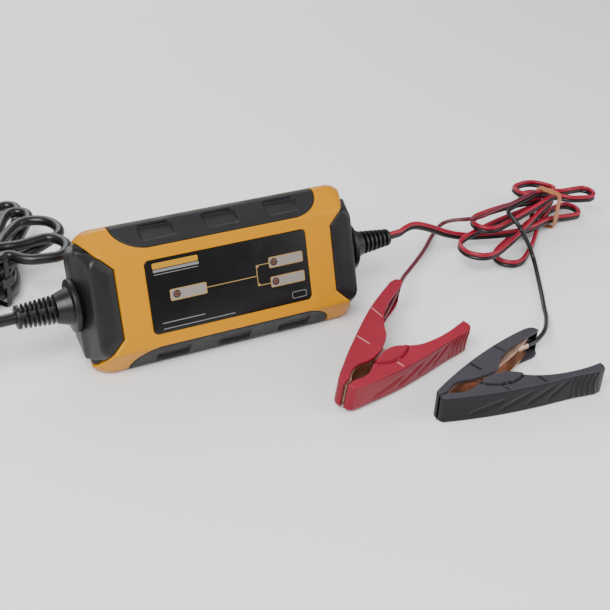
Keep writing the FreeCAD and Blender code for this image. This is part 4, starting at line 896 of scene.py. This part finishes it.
def grip_skin(side):
    """A grip on the slope of a long side, with three pads let into it, deeper at their rear edge."""
    rows = spaced(FRONT_EDGE + SEAM, PARTING_LINE - SEAM / 2, 0.45)
    columns = spaced(-1, 1, 0.008, 0.02)[::-1]
    level = case_level(rows)
    limit = grip_length(level[1]) - SEAM
    across = limit[:, None] * columns
    along = rows[:, None]
    points = np.stack(np.broadcast_arrays(across, level[1][:, None], level[3][:, None]), axis=-1)
    to_edge = np.minimum(
        (limit[:, None] - np.abs(across)) / steepness(limit, rows)[:, None],
        np.minimum(along - FRONT_EDGE - SEAM, PARTING_LINE - SEAM / 2 - along))
    shifted = across - PAD_SHIFT * side
    nearest = shifted - PAD_PITCH * np.clip(np.round(shifted / PAD_PITCH), -1, 1)
    out_x = np.maximum(np.abs(nearest) - PAD_HALF_LENGTH + PAD_CORNER, 0)
    out_y = np.maximum(np.abs(along - PAD_ALONG) - PAD_HALF_HEIGHT + PAD_CORNER, 0)
    inside = smooth(0.5 + (PAD_CORNER - np.hypot(out_x, out_y)) / PAD_WALL)
    slant = np.clip((along - PAD_ALONG) / PAD_HALF_HEIGHT, -1, 1)
    depth = fillet(to_edge, EDGE_ROUND * GRIP_ROUND) + inside * PAD_SINK * (1 + PAD_SLANT * slant)
    points, faces = walled(*both_skins(points, depth))
    return points * (side, side, 1), faces


def ring_of(half_length, half_height, corner, depth, middle):
    """A closed loop of points round a rounded rectangle."""
    turn = np.linspace(0, math.pi / 2, 7)
    x = half_length - corner + corner * np.cos(turn)
    y = half_height - corner + corner * np.sin(turn)
    loop = np.concatenate([
        np.stack([x, y], axis=1),
        np.stack([-x, y], axis=1)[::-1],
        np.stack([-x, -y], axis=1),
        np.stack([x, -y], axis=1)[::-1],
    ]) + middle
    return np.column_stack([loop, np.full(len(loop), depth)])


def slab(half_length, half_height, corner, low, high, edge=0.0, middle=(0, 0)):
    """A flat plate with a rounded outline, its top edge rounded by a quarter circle of radius edge."""
    turn = np.linspace(0, math.pi / 2, 5) if edge else np.zeros(1)
    insets = np.concatenate([(0,), edge * (1 - np.cos(turn))])
    heights = np.concatenate([(low,), high - edge + edge * np.sin(turn)])
    loops = [
        ring_of(half_length - inset, half_height - inset, max(corner - inset, 0.02), height, middle)
        for inset, height in zip(insets, heights)
    ]
    return np.concatenate(loops), tube_faces(len(loops), len(loops[0]))


def turned(profile, sides, radius_at=None):
    """A surface of revolution about Z: each row of the profile is a height and a radius."""
    heights, radii = np.array(profile, float).T
    turn = np.linspace(0, 2 * math.pi, sides, endpoint=False)
    radius = np.broadcast_to(radii[:, None], (len(radii), sides)).copy()
    if radius_at is not None:
        radius = radius_at(heights[:, None], turn[None, :], radius)
    points = np.stack(np.broadcast_arrays(
        radius * np.cos(turn), radius * np.sin(turn), heights[:, None]), axis=-1)
    return points.reshape(-1, 3), tube_faces(len(heights), sides)


LABEL_WINDOW = LEVELS[0, 1:4]
LABEL_HALF = (43.3, 18.6)
LABEL_CORNER = 2.5
LABEL_TOP = -0.1
LABEL_ROUND = 0.2
RECESS_FLOOR = -0.8

front = stacked(used_only(front_skin()), slab(*LABEL_WINDOW, -WALL, RECESS_FLOOR))
make("front_case", front, "case_yellow", CASE, "front_shell")
for name, side in (("left", -1), ("right", 1)):
    make(name + "_cap", cap_skin(side), "cap_charcoal", CASE, name + "_end_cap")
for name, side in (("top", 1), ("bottom", -1)):
    make(name + "_rubber", grip_skin(side), "grip_charcoal", CASE, name + "_grip")

# Label
# The film is a plate; what is printed on it is a thin coat of ink, drawn as flat plates on it.

film = slab(*LABEL_HALF, LABEL_CORNER, RECESS_FLOOR, LABEL_TOP, LABEL_ROUND)
make("label_film", film, "label_black", CASE, "label_panel")
INK = 0.03


def ink_box(left, right, low, high, corner, layer=1):
    """A filled rectangle of ink, on the layer that lies above the others."""
    half = ((right - left) / 2, (high - low) / 2)
    middle = ((left + right) / 2, (low + high) / 2)
    return slab(*half, corner, LABEL_TOP - INK, LABEL_TOP + INK * layer, 0, middle)


def ink_line(points, width):
    """A line of ink with round joints through the points."""
    parts = []
    for start, end in zip(points[:-1], points[1:]):
        left, right = sorted((start[0], end[0]))
        low, high = sorted((start[1], end[1]))
        half = width / 2
        parts.append(ink_box(left - half, right + half, low - half, high + half, half * 0.98))
    return stacked(*parts)


INDICATOR_BOXES = ((-32.6, -13.3, -3.5, 2.4), (21.2, 40.4, 2.1, 7.7), (21.2, 40.4, -8.1, -2.5))
FRAME_WIDTH = 0.6
LAMPS = {"power": (-29.1, -0.4), "upper": (24, 5), "lower": (24, -5.2)}
LAMP_RADIUS = 1.5
LAMP_TOP = 0.2
LAMP_FLATNESS = 0.6
LAMP_SURROUND = 1.95
print_frames = [ink_box(*box, 0.8) for box in INDICATOR_BOXES]
print_fills = [
    ink_box(left + FRAME_WIDTH, right - FRAME_WIDTH, low + FRAME_WIDTH, high - FRAME_WIDTH, 0.5, 2)
    for left, right, low, high in INDICATOR_BOXES
]
wiring = ink_line([(-13, -0.5), (14.2, -0.5)], 0.42)
branches = ink_line(
    [(21.4, 4.9), (15.2, 4.9), (14.2, 3.9), (14.2, -4.7), (15.2, -5.6), (21.4, -5.6)], 0.42)
surrounds = [
    ink_box(x - LAMP_SURROUND, x + LAMP_SURROUND, y - LAMP_SURROUND, y + LAMP_SURROUND,
            LAMP_SURROUND - 0.02, 3)
    for x, y in LAMPS.values()
]
bars = [
    ink_box(-39.6, -15.8, 12.1, 13.5, 0.3),
    ink_box(-39.4, -16.4, 10.85, 11.2, 0.15),
    ink_box(-38.5, -16, -13.85, -13.4, 0.15),
    ink_box(-38.3, 0, -16.8, -16.4, 0.15),
    ink_box(32.2, 40.5, -16.4, -12.8, 0.9),
]
badge_inside = ink_box(32.55, 40.15, -16.05, -13.15, 0.6, 2)
for name, boxes, finish in (
    ("frames", (*print_frames, wiring, branches), "print_cream"),
    ("fills", print_fills, "print_panel"),
    ("title", (ink_box(-39.8, -16, 13.9, 16.8, 0.7),), "print_gold"),
    ("bars", bars, "print_grey"),
    ("surrounds", (badge_inside, *surrounds), "label_black"),
):
    make("print_" + name, stacked(*boxes), finish, CASE, slot="label_black")

for name, spot in LAMPS.items():
    rise = np.linspace(0, math.pi / 2, 9)[:-1]
    dome = np.column_stack([
        LABEL_TOP + (LAMP_TOP - LABEL_TOP) * np.sin(rise), LAMP_RADIUS * np.cos(rise) ** LAMP_FLATNESS])
    points, faces = turned([(RECESS_FLOOR, LAMP_RADIUS), *dome], 32)
    make(name + "_light", (points + (*spot, 0), faces), "lamp_lens", CASE, name + "_lamp")

# Strain reliefs
# Turned about the cord's axis. Slots run across the sleeve between the ribs; each stops at a bridge
# on the rear side, and on the mains relief every other one at a second bridge in front.

COLLAR = 13.5
COLLAR_START = 75.5
COLLAR_END = 77.9
CONE_RADIUS = 9.5
CONE_SHARE = 0.27
ROUND = 0.8
SLEEVE_ROWS = 170
SLOT_HALF = 0.62
SLOT_EDGE = 0.35
# How far the last slot is from the sleeve's end, and the first from its start as a share of the pitch
SLOT_END = 1.4
SLOT_FIRST = 0.35
# The side on which every other slot is bridged, turned from the case's height
BRIDGED_SIDE = math.radians(75)
# Where a bridge begins, by the cosine of the angle from its middle, and over what part it rises
REAR_BRIDGE = (0.86, 0.06)
FRONT_BRIDGE = (0.94, 0.04)


def relief_part(end, neck, tip, root, slots, bridges):
    """Collar, cone and a tapering sleeve, whose slots reach down to the root except at their bridges."""
    cone_end = COLLAR_END + (end - COLLAR_END) * CONE_SHARE
    sleeve = np.linspace(cone_end, end - ROUND, SLEEVE_ROWS)
    share = (sleeve - cone_end) / (end - cone_end)

    def rounded(place, radius):
        """The profile's quarter round down to place, from this radius inwards."""
        turn = np.linspace(0, math.pi / 2, 6)
        return list(zip(place - ROUND + ROUND * np.sin(turn), radius - ROUND + ROUND * np.cos(turn)))

    profile = [(COLLAR_START - 3, COLLAR - 3), (COLLAR_START - 0.3, COLLAR - 0.3), (COLLAR_START, COLLAR)]
    profile += rounded(COLLAR_END, COLLAR)
    profile += [(COLLAR_END + 0.02, CONE_RADIUS + 0.8), (COLLAR_END + 0.3, CONE_RADIUS + 0.15)]
    profile += list(zip(sleeve, neck + (tip - neck) * share))
    profile += rounded(end, tip)
    profile += [(end, CORD_DIAMETER / 2)]
    pitch = (end - SLOT_END - cone_end) / slots
    centres = cone_end + pitch * (np.arange(slots) + SLOT_FIRST)

    def slotted(heights, turn, radius):
        """The sleeve's radius: down to the root in each slot, but not at the bridges."""
        facing = np.cos(turn - BRIDGED_SIDE)
        for number, centre in enumerate(centres):
            cut = smooth((SLOT_HALF + SLOT_EDGE / 2 - np.abs(heights - centre)) / SLOT_EDGE)
            bridge = rising(-facing, *REAR_BRIDGE)
            if bridges and number % 2:
                bridge = np.maximum(bridge, rising(facing, *FRONT_BRIDGE))
            radius = radius - np.maximum(radius - root, 0) * cut * (1 - bridge)
        return radius

    return turned(profile, 96, slotted)


# Each relief: its side, end, radius at the first rib and at the last, root of the slots, their
# number, and whether every other one is bridged in front
for name, side, *sizes in (
    ("mains", -1, 104.3, 7.3, 5.9, 4.0, 8, True),
    ("output", 1, 102.4, 6.6, 4.6, 3.2, 6, False),
):
    points, faces = relief_part(*sizes)
    lying = np.column_stack([points[:, 2] * side, points[:, 0], points[:, 1] - RELIEF_DEPTH])
    make(name + "_boot", (lying, faces), "relief_rubber", CASE, name + "_strain_relief")

# Battery clips
# A cover is a channel: a side wall, the outer wall and the other side wall. Its section at any
# place runs from the inner edge out to the back, round the edge, down the back and in again.

CLIP_HALF = CLIP_THICK / 2
COVER_WALL = 1.5
COVER_EDGE = 1.1


def lengths(points):
    """How far each point is along the line through them all."""
    return np.concatenate([(0,), np.cumsum(np.linalg.norm(np.diff(points, axis=0), axis=1))])


def flowing(points, shares):
    """A smooth curve through points, at shares of its length: cubic pieces with the slopes of neighbours."""
    points = np.array(points, float)
    where = lengths(points)
    slopes = np.gradient(points, where, axis=0)
    at = np.asarray(shares) * where[-1]
    piece = np.clip(np.searchsorted(where, at, side="right") - 1, 0, len(where) - 2)
    gap = np.linalg.norm(np.diff(points, axis=0), axis=1)[piece][:, None]
    part = (at - where[piece])[:, None] / gap
    return (
        points[piece] * (2 * part ** 3 - 3 * part ** 2 + 1)
        + points[piece + 1] * (3 * part ** 2 - 2 * part ** 3)
        + slopes[piece] * gap * (part ** 3 - 2 * part ** 2 + part)
        + slopes[piece + 1] * gap * (part ** 3 - part ** 2))


# The back of an arm from its nose to its handle's end, and the inner edges of its side walls
RED_NOSE_BACK = ((-33, 1), (-33.1, 2.3), (-32.9, 3.7), (-32, 5), (-29.5, 6.2))
BLACK_NOSE_BACK = ((-33, 0.5), (-33, 1.6), (-32.75, 2.7), (-31.9, 3.75), (-29.5, 4.8))
BACK = {
    ("red", "lead"): (*RED_NOSE_BACK, (-20, 9.6), (-10, 13), (0, 16), (10, 18.9), (20, 21.6),
        (30, 23.9), (40, 25.6), (50, 26.9), (57, 27.5), (60, 26.6), (61.3, 24.8), (61.5, 23)),
    ("red", "free"): (*RED_NOSE_BACK, (-20, 9.5), (-10, 12.8), (0, 15.6), (10, 17.8), (20, 19.8),
        (30, 21.5), (38, 23.1), (45, 24.7), (49.5, 25), (52.2, 23.7), (53.2, 21.4), (53, 19)),
    ("black", "lead"): (*BLACK_NOSE_BACK, (-20, 8.4), (-10, 11.7), (0, 14.6), (10, 17.05), (20, 19.05),
        (30, 20.6), (38, 21.4), (42.5, 21.6), (45.8, 20.8), (47.2, 19.2), (47.4, 17)),
    ("black", "free"): (*BLACK_NOSE_BACK, (-20, 8.4), (-10, 11.7), (0, 14.6), (10, 17.05), (20, 19.2),
        (30, 21), (38, 22.6), (45, 24.5), (50, 25.4), (53, 24.8), (54.4, 22.8), (54.3, 20.2)),
}
RED_NOSE_EDGE = ((-33, 1), (-30, 1.15), (-27.6, 1.4), (-25.5, 2.3), (-22.5, 3.4), (-18.5, 3.8),
    (-14.5, 3.1))
BLACK_NOSE_EDGE = ((-33, 0.5), (-30, 0.6), (-27.6, 0.8), (-25.5, 1.9), (-22.5, 3.35), (-18.5, 3.95),
    (-14.5, 3.4))
UPPER_EDGE = {
    ("red", "lead"): (*RED_NOSE_EDGE, (-11, 1.7), (-8, 0.8), (-3, 0.5), (2, 1), (6.8, 2.3), (11.5, 4),
        (14.6, 5.6), (17.5, 8), (20.8, 10.6), (26, 13.9), (31.7, 16.4), (37.5, 18), (43.4, 19.3),
        (50, 20.2), (56, 21.2), (61.5, 23)),
    ("red", "free"): (*RED_NOSE_EDGE, (-11, 1.9), (-7.8, 1.3), (-4, 0.95), (2.3, 0.9), (8.7, 2.8),
        (12.7, 5.7), (14.8, 8), (20, 11.9), (25.6, 14.2), (30, 15.5), (36, 16.9), (41.4, 17.8),
        (47, 18.3), (53, 19)),
    ("black", "lead"): (*BLACK_NOSE_EDGE, (-11.7, 2.4), (-7.5, 1.9), (-5.2, 1.7), (-1, 1.4), (2.6, 1.5),
        (5.8, 2.4), (8.4, 4), (12.5, 7.6), (17.5, 10.2), (25, 12.7), (31, 14.1), (37, 15.1), (43, 16),
        (47.4, 17)),
    ("black", "free"): (*BLACK_NOSE_EDGE, (-11, 2.2), (-7.8, 1.5), (-4, 1.1), (2.3, 1.2), (8.7, 3.2),
        (11.8, 5.6), (13.8, 8), (19.8, 12.2), (25.6, 14.9), (32.2, 17.1), (39.7, 18.8), (47, 19.8),
        (54.3, 20.2)),
}
LOWER_EDGE = {
    ("black", "lead"): (*BLACK_NOSE_EDGE, (-11.7, 2.4), (-7.5, 1.9), (-3.5, 1.7), (0, 1.7), (3.2, 2.4),
        (9.9, 6), (16.5, 9.2), (22, 11.2), (30, 12.8), (38, 13.2), (43, 13.4), (46, 14.4), (47.2, 15.6),
        (47.4, 17)),
}


def channel(back, upper, lower, half, edge, sink):
    """The channel's grid: rows from nose to handle, columns round its section, sunk by sink."""
    share = np.concatenate([np.linspace(1, 0.9, 6), np.linspace(0.9, 0, 24)[1:]])
    turn = np.linspace(0, math.pi / 2, 7)[1:]

    def side_wall(rim):
        """A side wall's width, its direction, and its depths from its rim to the back's round."""
        wide = np.linalg.norm(rim - back, axis=1)[:, None]
        start = np.minimum(sink + edge, wide)
        bend = np.minimum(edge, np.maximum(wide - sink, 0))
        round_in = np.minimum(sink, wide) + bend * (1 - np.sin(turn))
        way = (rim - back) / np.maximum(wide, 1e-6)
        return wide, way, np.hstack([start + (wide - start) * share, round_in])

    wide, to_upper, upper_depth = side_wall(upper)
    _, to_lower, lower_depth = side_wall(lower)
    down = np.linspace(1, -1, 25)[1:-1] * (half - edge)
    near = np.repeat(np.minimum(sink, wide), len(down), axis=1)
    depth = np.hstack([upper_depth, near, lower_depth[:, ::-1]])
    corner = np.concatenate([np.full(len(share), half), half - edge * (1 - np.cos(turn))])
    height = np.concatenate([corner, down, -corner[::-1]])
    upper_half = np.arange(len(height)) < len(corner) + len(down) // 2
    way = np.where(upper_half[None, :, None], to_upper[:, None, :], to_lower[:, None, :])
    flat_points = back[:, None, :] + way * depth[..., None]
    return np.dstack([flat_points, np.broadcast_to(height, depth.shape)]), depth, np.maximum(wide - depth, 0)


# Cross lines: where each one is at LINE_LEVEL, and its slope from there
LINE_LEVEL = 12
LINES = {
    ("red", "lead"): ((1.6, 0.12), (24.3, 0.32)),
    ("red", "free"): ((-1.8, -0.14),),
    ("black", "lead"): ((-3.3, -0.18), (18.6, -0.24)),
    ("black", "free"): ((-1, 0.19), (18.7, 0.14)),
}
# A red cover's lines are ridges, a black one's are grooves: half width, how wide their edge is, rise
LINE_FORMS = {"red": (0.5, 0.3, 0.25), "black": (0.9, 0.4, -0.7)}
# Between these depths from the back a line shows, each with the length over which it comes and goes
LINE_FROM = (0.6, 0.5)
LINE_TO = (8.7, 0.6)
LENS_MIDDLE = (2, 5.2)
LENS_SLOPE = math.radians(13.2)
LENS_HALF = (11.9, 4.2)
LENS_RISE = 1.1
# By the lens's own measure: how far out the groove round it begins, and where the lines end
LENS_RIM = (0.22, 0.06)
LENS_RIM_SINK = 0.5
LENS_CLEAR = (0.36, 0.1)
# The free arm's ribs: a place on one, how they curve, their pitch and rise, and the stretch with them
RIB_PLACE = 34.5
RIB_CURVE = 0.045
RIB_PITCH = 3.1
RIB_RISE = 0.5
RIBBED = (34, 50)
RIB_FADE = 1.5
# The flutes: where each starts, how it slopes and how long it is. All start at one height, and
# rise by their slope times a run; then how deep and how wide they are, and how far they widen
FLUTES = ((-22, 0.16, 22), (-6, 0.2, 20), (8, 0.22, 18), (20, 0.25, 14))
FLUTE_START = -4.5
FLUTE_RUN = 45
FLUTE_SINK = 0.55
FLUTE_HALF = 0.5
FLUTE_SWELL = 1.7


def relief_of_cover(colour, arm, points, depth):
    """How far the cover's moulded details stand proud, where a painted highlight lies on the red
    cover's cross lines, and where painted shade lies in the black cover's grooves and round the lens.
    Cross lines on the upper face are ridges on red and grooves on black; round the pivot lies a
    raised lens; the back has sweeping flutes and, where the free arm flares, ribs."""
    x, y, z = np.moveaxis(points, -1, 0)
    upper = smooth((z - CLIP_HALF + 0.6) / 0.4)
    back_wall = 1 - smooth((np.abs(z) - CLIP_HALF + 2.2) / 1.6)
    proud = np.zeros_like(x)
    lines = np.zeros_like(x)
    painted_shade = np.zeros_like(x)
    off_x = x - LENS_MIDDLE[0]
    off_y = y - LENS_MIDDLE[1]
    along_lens = off_x * math.cos(LENS_SLOPE) + off_y * math.sin(LENS_SLOPE)
    across_lens = off_y * math.cos(LENS_SLOPE) - off_x * math.sin(LENS_SLOPE)
    lens = 1 - (along_lens / LENS_HALF[0]) ** 2 - np.abs(across_lens) / LENS_HALF[1]
    half, edge, rise = LINE_FORMS[colour]
    reach = rising(depth, *LINE_FROM) * smooth((LINE_TO[0] - depth) / LINE_TO[1])
    if arm == "free":
        reach = reach * (1 - smooth((lens + LENS_CLEAR[0]) / LENS_CLEAR[1]))
    for place, slope in LINES[colour, arm]:
        shift = np.abs(x - place - slope * (y - LINE_LEVEL))
        line = upper * reach * smooth((half - shift) / edge)
        proud += rise * line
        lines = np.maximum(lines, line)
    # On red the cross lines are painted paler, a painted highlight; on black the grooves are painted darker,
    # a painted shade
    pale, painted_shade = (lines, painted_shade) if colour == "red" else (painted_shade, lines)
    if arm == "free":
        # The groove round the lens is painted darker: painted shade
        around = upper * smooth((lens + LENS_RIM[0]) / LENS_RIM[1]) * (1 - smooth(lens / 0.04))
        proud += LENS_RISE * upper * smooth(lens / 0.1) - LENS_RIM_SINK * around
        painted_shade = np.maximum(painted_shade, around)
        curve = x - RIB_CURVE * z * z
        ribs = np.maximum(np.cos((curve - RIB_PLACE) * 2 * math.pi / RIB_PITCH), 0)
        ribbed = smooth((x - RIBBED[0]) / RIB_FADE) * smooth((RIBBED[1] - x) / RIB_FADE)
        proud += RIB_RISE * ribs * back_wall * ribbed
    for start, slope, length in FLUTES:
        part = np.clip((x - start) / length, 0, 1)
        middle = FLUTE_START + slope * FLUTE_RUN * part
        wide = FLUTE_HALF + FLUTE_SWELL * part * (1 - part) * 2
        hollow = np.exp(-((z - middle) / wide) ** 2) * smooth(part * 5) * smooth((1 - part) * 4)
        proud -= FLUTE_SINK * back_wall * hollow
    return proud, pale, painted_shade


# Where along an arm its rows change from close to wide apart and back, and how many there are
ROW_STRETCHES = ((0, 0.08, 36), (0.08, 0.92, 280), (0.92, 1, 40))


def clip_cover(colour, arm, body):
    """The cover of one arm; the free arm's is the same kind of channel on the other side of the clip."""
    side = 1 if arm == "lead" else -1
    shares = joined_steps(*[np.linspace(*stretch) for stretch in ROW_STRETCHES])
    back = flowing(BACK[colour, arm], shares)
    upper = flowing(UPPER_EDGE[colour, arm], shares)
    lower = flowing(LOWER_EDGE.get((colour, arm), UPPER_EDGE[colour, arm]), shares)
    outer, depth, left = channel(back, upper, lower, CLIP_HALF, COVER_EDGE, 0)
    inner = channel(back, upper, lower, CLIP_HALF - COVER_WALL, 0.4, COVER_WALL)[0]
    normal = grid_normals(outer)
    normal = normal * np.sign(normal[len(back) // 2, 20, 2])
    proud, line_highlight, painted_shade = relief_of_cover(colour, arm, outer, depth)
    # Side faces take the paler colour, a painted sheen; the grooves fall back to the back's darker colour as
    # painted shade
    matte_and_sheen = smooth((np.abs(outer[..., 2]) - CLIP_HALF + 0.75) / 0.4) * (1 - painted_shade)
    outer = outer + normal * (proud * smooth(left / 0.8) - fillet(left, 0.35))[..., None]
    points, faces = walled(outer, inner)
    values = {"matte_and_sheen": np.tile(matte_and_sheen.ravel(), 2), "line_highlight": np.concatenate([line_highlight.ravel(), np.zeros(line_highlight.size)])}
    arm_name = colour + "_" + arm
    make(arm_name + "_shell", (points * (1, side, 1), faces), "clip_" + colour, CLIPS[colour],
         arm_name + "_cover", body=body, sharp=50, values=values)


for colour in ("red", "black"):
    clip_cover(colour, "lead", ROOT)
    clip_cover(colour, "free", colour + "_free_arm")

TUCK_START = 9
TUCK = 0.9


def tucked_in(name):
    """A metal piece of the red lead arm, with what shows past its cover's edge drawn in behind it."""
    data = frame["nodes"][name].data
    corners = np.empty(len(data.loops), np.int32)
    data.loops.foreach_get("vertex_index", corners)
    origin, axes = CLIPS["red"]
    points = (points_of(data) / MM - origin) @ axes.T
    edge = np.array(UPPER_EDGE["red", "lead"])
    least = np.interp(points[:, 0], edge[:, 0], edge[:, 1]) + TUCK
    points[:, 1] = np.where(points[:, 0] > TUCK_START, np.maximum(points[:, 1], least), points[:, 1])
    return points, corners.reshape(-1, 3)


make("red_lead_channel", tucked_in("red_lead_jaw"), "jaw_copper", CLIPS["red"], "red_lead_jaw")
red_ferrule = make("red_ferrule", tucked_in("red_crimp"), "jaw_copper", CLIPS["red"], "red_crimp",
                   slot="tinned_brass")

# Tie of the twin lead's hank

BAND_HALF = (7.65, 11.2)
BAND_CORNER = 2.6
BAND_MIDDLE = 12.2
BAND_BREADTH = 4.8
BAND_THICK = 0.6
BAND_GAP = 0.25
BAND_STEPS = 180
BAND_STRIPS = 11


def band():
    """A crumpled band round the hank's waist: a rounded rectangle stood upright across the hank,
    carried over the band's breadth, its distance from the hank wavering by sines of both."""
    corners = ring_of(*BAND_HALF, BAND_CORNER, 0, (0, 0))[:, :2]
    corners = np.concatenate([corners, corners[:1]])
    length = lengths(corners)
    at = np.linspace(0, length[-1], BAND_STEPS, endpoint=False)
    loop = np.column_stack([np.interp(at, length, corners[:, axis]) for axis in range(2)])
    ahead = unit(np.roll(loop, -1, axis=0) - np.roll(loop, 1, axis=0))
    outward = np.column_stack([ahead[:, 1], -ahead[:, 0]])
    outward = outward * np.sign((outward * loop).sum(axis=1))[:, None]
    turn = (2 * math.pi * at / length[-1])[:, None]
    wide = np.linspace(-1, 1, BAND_STRIPS)
    waver = 0.16 * np.sin(7 * turn + 1.7 * wide) + 0.12 * np.sin(13 * turn - 3.1 * wide)
    drift = BAND_BREADTH / 2 * wide * (1 + 0.1 * np.sin(3 * turn)) + 0.35 * np.sin(turn * 2)
    along, across = level_axes(LEAD_DIRECTION)
    middle = LEAD_WAIST - across * LEAD_RISE / 2 + (0, 0, BAND_MIDDLE)
    skins = []
    for out in (BAND_THICK + BAND_GAP, BAND_GAP):
        flat = loop[:, None, :] + outward[:, None, :] * (out + waver)[..., None]
        skin = middle + flat[..., :1] * across + flat[..., 1:] * (0, 0, 1) + drift[..., None] * along
        skins.append(skin.transpose(1, 0, 2))
    return walled(*skins, quads(BAND_STRIPS, BAND_STEPS, wrap=True))


tie_band = make("output_band", band(), "tie_plastic", TABLE, "output_tie", sharp=60)

# Floor and light

FLOOR_REACH = 3.0
FLOOR_WHITE = 0.86
FLOOR_ROUGHNESS = 0.7
WORLD_STRENGTH = 0.35
# Each lamp: its place and what it is turned to, in metres, its width in metres and its power in watts
STUDIO_LAMPS = {
    "key": ((-0.55, -0.5, 0.9), (0, 0, 0.03), 0.7, 20),
    "fill": ((0.9, -0.6, 0.6), (0.05, -0.02, 0.02), 0.9, 8),
    "rim": ((0.1, 0.9, 0.7), (0, 0, 0.04), 0.8, 8),
}


def floor_and_light():
    """A pale floor, an even white sky and three square lamps."""
    floor_data = bpy.data.meshes.new("floor")
    corners = [(x * FLOOR_REACH, y * FLOOR_REACH, 0) for x, y in ((-1, -1), (1, -1), (1, 1), (-1, 1))]
    floor_data.from_pydata(corners, [], [(0, 1, 2, 3)])
    floor_data.materials.append(shader("floor_pale", (FLOOR_WHITE,) * 3, FLOOR_ROUGHNESS)[0])
    added("floor", floor_data)
    world = bpy.data.worlds.new("studio")
    world.use_nodes = True
    sky = world.node_tree.nodes["Background"]
    sky.inputs["Color"].default_value = (1, 1, 1, 1)
    sky.inputs["Strength"].default_value = WORLD_STRENGTH
    bpy.context.scene.world = world
    for name, (spot, target, size, power) in STUDIO_LAMPS.items():
        data = bpy.data.lights.new(name, "AREA")
        data.size = size
        data.energy = power
        lamp = added(name, data)
        lamp.location = spot
        lamp.rotation_euler = (Vector(target) - Vector(spot)).to_track_quat("-Z", "Y").to_euler()


floor_and_light()
